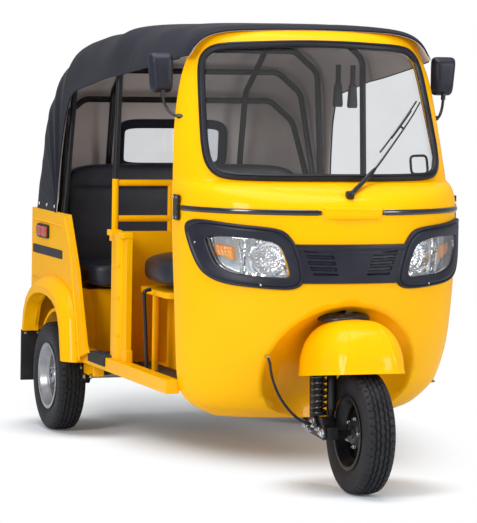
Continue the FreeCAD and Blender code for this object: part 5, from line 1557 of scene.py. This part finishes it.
def rear_body_trim():
    """Pressed ribs and beads, black side stripes, side markers, tail lamps and flap bolts."""
    skin = 611.5
    ribs = tubes_on_both_sides([(skin, 1236, 872), (skin, 1000, 870), (skin, 785, 866)], 5.5)
    ribs += tubes_on_both_sides([(skin, 1236, 626), (skin, 1000, 620), (skin, 765, 610)], 5.0)
    ribs += tubes_on_both_sides([(skin, 748, 905), (skin, 735, 880), (skin, 662, 776), (skin, 592, 575),
                                 (skin, 525, 396), (skin, 512, 330)], 6.0, count=60)
    ribs += tubes_on_both_sides([(skin, 512, 408), (skin, 560, 404), (skin, 640, 396)], 4.5)
    dress(merged("pressed_ribs", ribs), YELLOW, "chassis")
    stripes = pair_of((610.5, 781, 728), (613.6, 1240, 765), 0.1)
    dress(merged("side_stripes", stripes), SATIN_BLACK, "chassis")
    bases = pair_of((609, 985, 800), (622, 1157, 858), 0.22)
    lens = pair_of((615, 993, 808), (628, 1066, 850), 0.25)
    lens += pair_of((615, 1076, 808), (628, 1149, 850), 0.25)
    marker = merged("side_marker_lenses", lens)
    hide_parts("side_markers")
    dress(marker, RED_LENS, "chassis")
    bases += pair_of((486, 1276, 391), (584, 1284, 509), 0.2)
    dress(merged("lamp_bases", bases), RUBBER, "chassis")
    red = merged("tail_lenses_red", pair_of((491, 1262, 396), (579, 1298, 448), 0.25))
    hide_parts("tail_lamps")
    dress(red, RED_LENS, "chassis")
    amber = merged("tail_lenses_amber", pair_of((491, 1264, 452), (579, 1298, 504), 0.25))
    dress(amber, AMBER, "chassis")
    spots = [(x * side, 1247, 376) for side in (1, -1) for x in (530, 584, 640)]
    dress(merged("flap_bolts", bolt_heads(spots, (0, -1, 0), 5.0)), STEEL, "chassis")


def rear_lid_trim():
    """Pressed louvres, a pull handle and a lock on the engine lid."""
    slats = []
    for row in range(6):
        for x in (-235, 235):
            z = 500 + 26 * row
            slats.append(moulded("slat", (x - 95, 1272, z), (x + 95, 1283, z + 12), 0.3))
    dress(merged("lid_louvres", slats), YELLOW, "rear_lid")
    bow = rounded_line([(-60, 1276, 446), (-60, 1300, 446), (60, 1300, 446), (60, 1276, 446)], 3)
    grip = tube_mesh("grip", bow, 5.5, 12)
    profile = [(1276, 0), (1276, 13), (1282, 13), (1284, 10), (1284, 0)]
    lock = lathe_mesh("lock", profile, (110, 0, 446), "Y", 24)
    dress(merged("lid_handle", [grip, lock]), FRAME_BLACK, "rear_lid")


def door_trim():
    """Hinge plate bolts and knuckles, post lugs, step pads, floor mats and the bracket under each sill."""
    spots = [(562, y, z) for y in (-590, -550) for z in (990, 1065)]
    dress(merged("hinge_bolts", bolts_on_both_sides(spots, 4.5)), STEEL, "chassis")
    knuckles = []
    for side in (1, -1):
        for low in (984, 1016, 1048):
            profile = [(low, 0), (low, 7), (low + 24, 7), (low + 24, 0)]
            knuckles.append(lathe_mesh("knuckle", profile, (561 * side, -604, 0), "Z", 20))
    dress(merged("hinge_knuckles", knuckles), FRAME_BLACK, "chassis")
    lugs = pair_of((533, 36, 866), (580, 106, 890), 0.16) + pair_of((533, 186, 866), (580, 254, 890), 0.16)
    for z in (748, 620, 470):
        lugs += pair_of((556, 106, z), (577.5, 184, z + 10), 0.2)
    lugs += pair_of((536, 20, 374), (566, 92, 424), 0.14)
    dress(merged("post_lugs", lugs), YELLOW, "chassis")
    dress(merged("step_pads", [step_pad(side) for side in (1, -1)]), MAT_BLACK, "chassis")
    mats = [floor_mat(-498, 498, -600, -268), floor_mat(-528, 528, 315, 648)]
    mats += [floor_mat(386, 528, -266, 250, 34, 64), floor_mat(-528, -386, -266, 250, 34, 64)]
    dress(merged("floor_mats", mats), MAT_BLACK, "chassis")
    wings = pair_of((500, 652, 350), (599, 664, 612), 0.08) + pair_of((500, 664, 600), (599, 1000, 612), 0.08)
    dress(merged("seat_base_wings", wings), YELLOW_IN, "chassis")
    feet = pair_of((500, 520, 262), (548, 668, 330), 0.12)
    dress(merged("arm_brackets", feet), YELLOW, "chassis")
    ends = [(549, 640, 252), (549, 540, 264), (549, 690, 286)]
    dress(merged("arm_bolts", bolts_on_both_sides(ends, 9.0)), STEEL, "chassis")


def step_pad(side):
    """Ribbed rubber over the sill's edge: its bent section lifted by a sine along the sill."""
    inner, outer = (538, 551) if side > 0 else (540, 587)
    section = rounded_line([(inner, 377), (outer, 377), (outer + 5, 371), (outer + 5, 340)], 2)
    section = even_steps(section, 26)
    along = np.linspace(214, 440, 100)
    slope = np.gradient(section, axis=0)
    out = np.stack([-slope[:, 1], slope[:, 0]], axis=1)
    out = -out / np.linalg.norm(out, axis=1, keepdims=True)
    out = out * np.where(out[:, :1] + out[:, 1:] < 0, -1, 1)
    rib = 3.4 + 1.6 * bent(np.sin(along * 2 * math.pi / 15), 0.4)
    top = section[None] + out[None] * rib[:, None, None]
    base = section[None] - out[None] * 1.0 + 0 * rib[:, None, None]
    y = np.broadcast_to(along[:, None], top.shape[:2])
    top, base = (np.stack([flat[..., 0] * side, y, flat[..., 1]], axis=-1) for flat in (top, base))
    return closed_up(slab_mesh("pad", top, base, sharp=40))


def floor_mat(x0, x1, y0, y1, columns=120, rows=42):
    """Rubber mat with raised diamonds: the product of two slanted sines, cut at a low height."""
    x = np.linspace(x0, x1, columns)[None, :]
    y = np.linspace(y0, y1, rows)[:, None]
    wave = np.sin((x + y) * math.pi / 24) * np.sin((x - y) * math.pi / 24)
    z = 353.0 + 2.6 * np.clip(np.abs(wave) - 0.25, 0, 0.4)
    top = np.stack([x + 0 * y, y + 0 * x, z], axis=-1)
    base = top.copy()
    base[..., 2] = 349.0
    return closed_up(slab_mesh("mat", top, base, sharp=60))


def mirrors():
    """Mirrors: rounded shells, silvered panes, bent stems with sleeves."""
    shells, stems, panes = [], [], []
    for side in (1, -1):
        shells.append(mirror_shell(side))
        line = rounded_line([(575, -436, 1462), (575, -437, 1434), (566, -447, 1398), (546, -470, 1370),
                             (526, -487, 1366), (506, -502, 1365)], 2) * (side, 1, 1)
        stems.append(tube_mesh("stem", line, 5.6, 14))
        sleeve = np.array([(575, -436, 1462), (575, -437, 1447), (574, -438, 1436)]) * (side, 1, 1)
        foot = np.array([(530, -485, 1366), (516, -495, 1365), (504, -504, 1365)]) * (side, 1, 1)
        stems += [tube_mesh("sleeve", sleeve, 9.0, 14), tube_mesh("foot", foot, 9.5, 14)]
        panes.append(moulded("pane", (578 * side - 40, -412, 1462), (578 * side + 40, -407.5, 1594), 0.3))
    shell = merged("mirror_shells", shells, sharp=60)
    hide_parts("mirrors")
    dress(shell, SATIN_BLACK, "chassis")
    dress(merged("mirror_stems", stems), FRAME_BLACK, "chassis")
    dress(merged("mirror_panes", panes), REFLECTOR, "chassis")


def mirror_shell(side):
    """Mirror head: a superellipse in front view, wider above, its back drawn in to a flat facet."""
    turn = full_turn(96)[None, :]
    step = np.array([0.0, 0.3, 0.62, 0.72, 0.8, 0.9, 0.96, 1.0, 1.0, 0.985, 0.955, 0.93])[:, None]
    depth = np.array([0, 0, 0, 2, 6, 14, 21, 30, 40, 45, 46, 42.0])[:, None]
    across, up = bent(np.cos(turn), 0.30), bent(np.sin(turn), 0.30)
    x = 578 + step * across * (46 + 3.5 * up) + 3 * up
    z = 1528 + step * up * 75
    y = -452 + depth + 0 * turn
    points = np.stack([x * side, y, z], axis=-1)
    tail = np.stack([np.full(96, 578.0 * side), np.full(96, -409.0), np.full(96, 1528.0)], axis=-1)[None]
    return closed_up(sheet_mesh("shell", np.concatenate([points, tail]), wrap_columns=True, sharp=60))


def wiper():
    """Wiper: capped pivot, tapering arm along the glass and a blade held at its middle."""
    root = np.array([(0.0, -928, 1092), (48, -884, 1118), (100, -832, 1146)])
    upper = on_cowl(np.array([171.0, 235, 300, 360, 408]), np.array([1184.0, 1250, 1316, 1376, 1424]),
                    np.array([24.0, 22, 20, 18, 13]))
    line = smooth_line(np.concatenate([root, upper]), 90)
    radius = np.interp(np.linspace(0, 1, 90), [0, 0.04, 0.33, 0.38, 0.8, 1], [8, 9.5, 8.5, 4.2, 3.2, 2.6])
    arm = tube_mesh("arm", line, radius, 14)
    cap = moulded("cap", (-15, -946, 1076), (15, -908, 1108), 0.6)
    share = np.linspace(0, 1, 60)
    x, z = 198 + (396 - 198) * share, 1240 + (1430 - 1240) * share
    blade = tube_mesh("blade", on_cowl(x, z, np.full(60, 7.0)), 3.4, 10)
    middle = slice(16, 48)
    holder = tube_mesh("holder", on_cowl(x[middle], z[middle], np.full(32, 13.0)), 4.6, 10)
    link_line = on_cowl(np.linspace(296, 312, 8), np.linspace(1334, 1322, 8), np.full(8, 15.0))
    bridge = tube_mesh("bridge", link_line, 4.0, 8)
    whole = merged("wiper_arm", [arm, cap, blade, holder, bridge])
    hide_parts("wiper")
    dress(whole, FRAME_BLACK, "chassis")


def handlebar_fittings():
    """Grips with end flanges, switch boxes and levers on the handlebar."""
    grips, boxes, levers = [], [], []
    for side in (1, -1):
        end, inner = np.array([257.0 * side, -650, 998]), np.array([130.0 * side, -735, 1006])
        way = (inner - end) / np.linalg.norm(inner - end)
        marks = np.linspace(-4, 104, 70)
        radius = 16.5 + 0.9 * np.sin(marks * 1.15) + 3.5 * np.exp(-((marks - 100) / 4) ** 2)
        grips.append(tube_mesh("grip", end + way * marks[:, None], radius, 20))
        boxes.append(moulded("switch", end + way * 122 - (22, 22, 24), end + way * 122 + (22, 22, 24), 0.35))
        lever = [end + way * 128 + (0, -18, 0), end + way * 104 + (0, -44, 2), end + way * 60 + (0, -52, 2),
                 end + way * 8 + (0, -50, 0)]
        levers.append(tube_mesh("lever", smooth_line(np.array(lever), 40), 5.0, 12))
    dress(merged("grips", grips), MAT_BLACK, "steering")
    dress(merged("switch_boxes", boxes), SATIN_BLACK, "steering")
    dress(merged("hand_levers", levers), FRAME_BLACK, "steering")


def driver_place_trim():
    """Tray and legs of the driver's bench, and the bent black bar beside it."""
    parts = [moulded("tray", (-488, -262, 650), (488, 108, 675), 0.1)]
    for side in (1, -1):
        leg = np.array([(470.0, -62, 350), (470, -62, 520), (470, -62, 656)]) * (side, 1, 1)
        parts.append(tube_mesh("leg", leg, 12.5, 16))
    dress(merged("bench_tray", parts), YELLOW_IN, "chassis")
    line = rounded_line([(-524, -130, 350), (-531, -130, 520), (-540, -130, 662), (-536, -130, 676),
                         (-512, -130, 679)], 3)
    dress(merged("entry_bar", [tube_mesh("bar", line, 7.5, 14)]), FRAME_BLACK, "chassis")


def grab_strap(x, y):
    """Hanging strap with a thicker grip: superellipse rings down a straight line."""
    top, low = np.array([x, y, 1560.0]), np.array([x, y, 1385.0])
    share = np.linspace(0, 1, 60)
    half = np.interp(share, [0, 0.42, 0.5, 0.95, 1], [11, 11, 17, 22, 18])[:, None]
    thick = np.interp(share, [0, 0.42, 0.5, 1], [4, 4, 8, 9])[:, None]
    turn = full_turn(28)[None, :]
    ring = [half * bent(np.cos(turn), 0.5), thick * bent(np.sin(turn), 0.5), np.zeros((60, 28))]
    place = top + (low - top) * share[:, None]
    points = place[:, None] + np.stack(ring, axis=-1)
    rings = [place[:1, None] + 0 * points[:1], points, place[-1:, None] + 0 * points[-1:]]
    return closed_up(sheet_mesh("strap", np.concatenate(rings), wrap_columns=True, sharp=50))


def surround_screws():
    """Domed screws in the lamp surrounds."""
    screws = []
    for side in (1, -1):
        for x, z in ((521.0, 905.0), (330.0, 760.0)):
            x, z = np.array(x * side), np.array(z)
            screws.append(stud(on_cowl(x, z, np.array(11.0)), cowl_normal(cowl_turn(x, z), z), 5.0))
    return screws


def cab_trim():
    """Hanging grab straps, a blank pass holder inside the windshield, screws and the steering head's cup."""
    dress(merged("grab_straps", [grab_strap(450, y) for y in (380, 215)]), VINYL, "chassis")
    turn = full_turn(80)
    wide, high = 379 + 42 * bent(np.cos(turn), 0.4), 1197 + 34 * bent(np.sin(turn), 0.4)
    base = on_cowl(wide + 0.1 * (high - 1197), high, np.full(80, -9.0))
    holder = tube_mesh("holder", base, 5.0, 8, closed=True)
    dress(merged("pass_holder", [holder]), FRAME_BLACK, "chassis")
    dress(merged("surround_screws", surround_screws()), STEEL, "chassis")
    angle = np.linspace(0, math.pi / 2, 14)
    profile = np.stack([628 + 26 * np.sin(angle) ** 0.8, 100 * np.cos(angle) ** 0.7], axis=1)
    profile = np.concatenate([[(622, 0), (622, 97)], profile])
    cup = lathe_mesh("cup", profile, (0, -885, 0), "Z", 72)
    dress(merged("head_cup", [cup]), FRAME_BLACK, "steering")
    tops = [(math.sin(turn) * 78, -885 - math.cos(turn) * 78, 640.0) for turn in (-1.0, -0.45, 0.35, 0.9)]
    dress(merged("head_bolts", bolt_heads(tops, (0, 0, 1), 6.5)), STEEL, "steering")


rear_body_trim()
rear_lid_trim()
door_trim()
mirrors()
wiper()
handlebar_fittings()
driver_place_trim()
cab_trim()


# Every CAD node not yet replaced keeps its shape and gets its finish.
NODE_FINISH = {
    "yellow_body": YELLOW, "black_gasket": RUBBER, "clear_glass": GLASS, "black_trim": SATIN_BLACK,
    "lamp_clear": LAMP_GLASS, "lamp_colour": AMBER, "black_frame": FRAME_BLACK, "floor_paint": YELLOW_IN,
    "seat_vinyl": VINYL, "hood_canvas": CANVAS, "engine_metal": CASTING, "steel": STEEL, "tyre_rubber": TYRE,
    "front_rim_paint": FRAME_BLACK, "rim_silver": SILVER, "hose_rubber": RUBBER,
}
for row in frame["record"]["subparts"]:
    node = frame["nodes"][row["node"]]
    node.data.materials.clear()
    finish = WINDOW_FILM if row["node"] == "rear_window" else NODE_FINISH[row["material_slot"]]
    node.data.materials.append(finish)
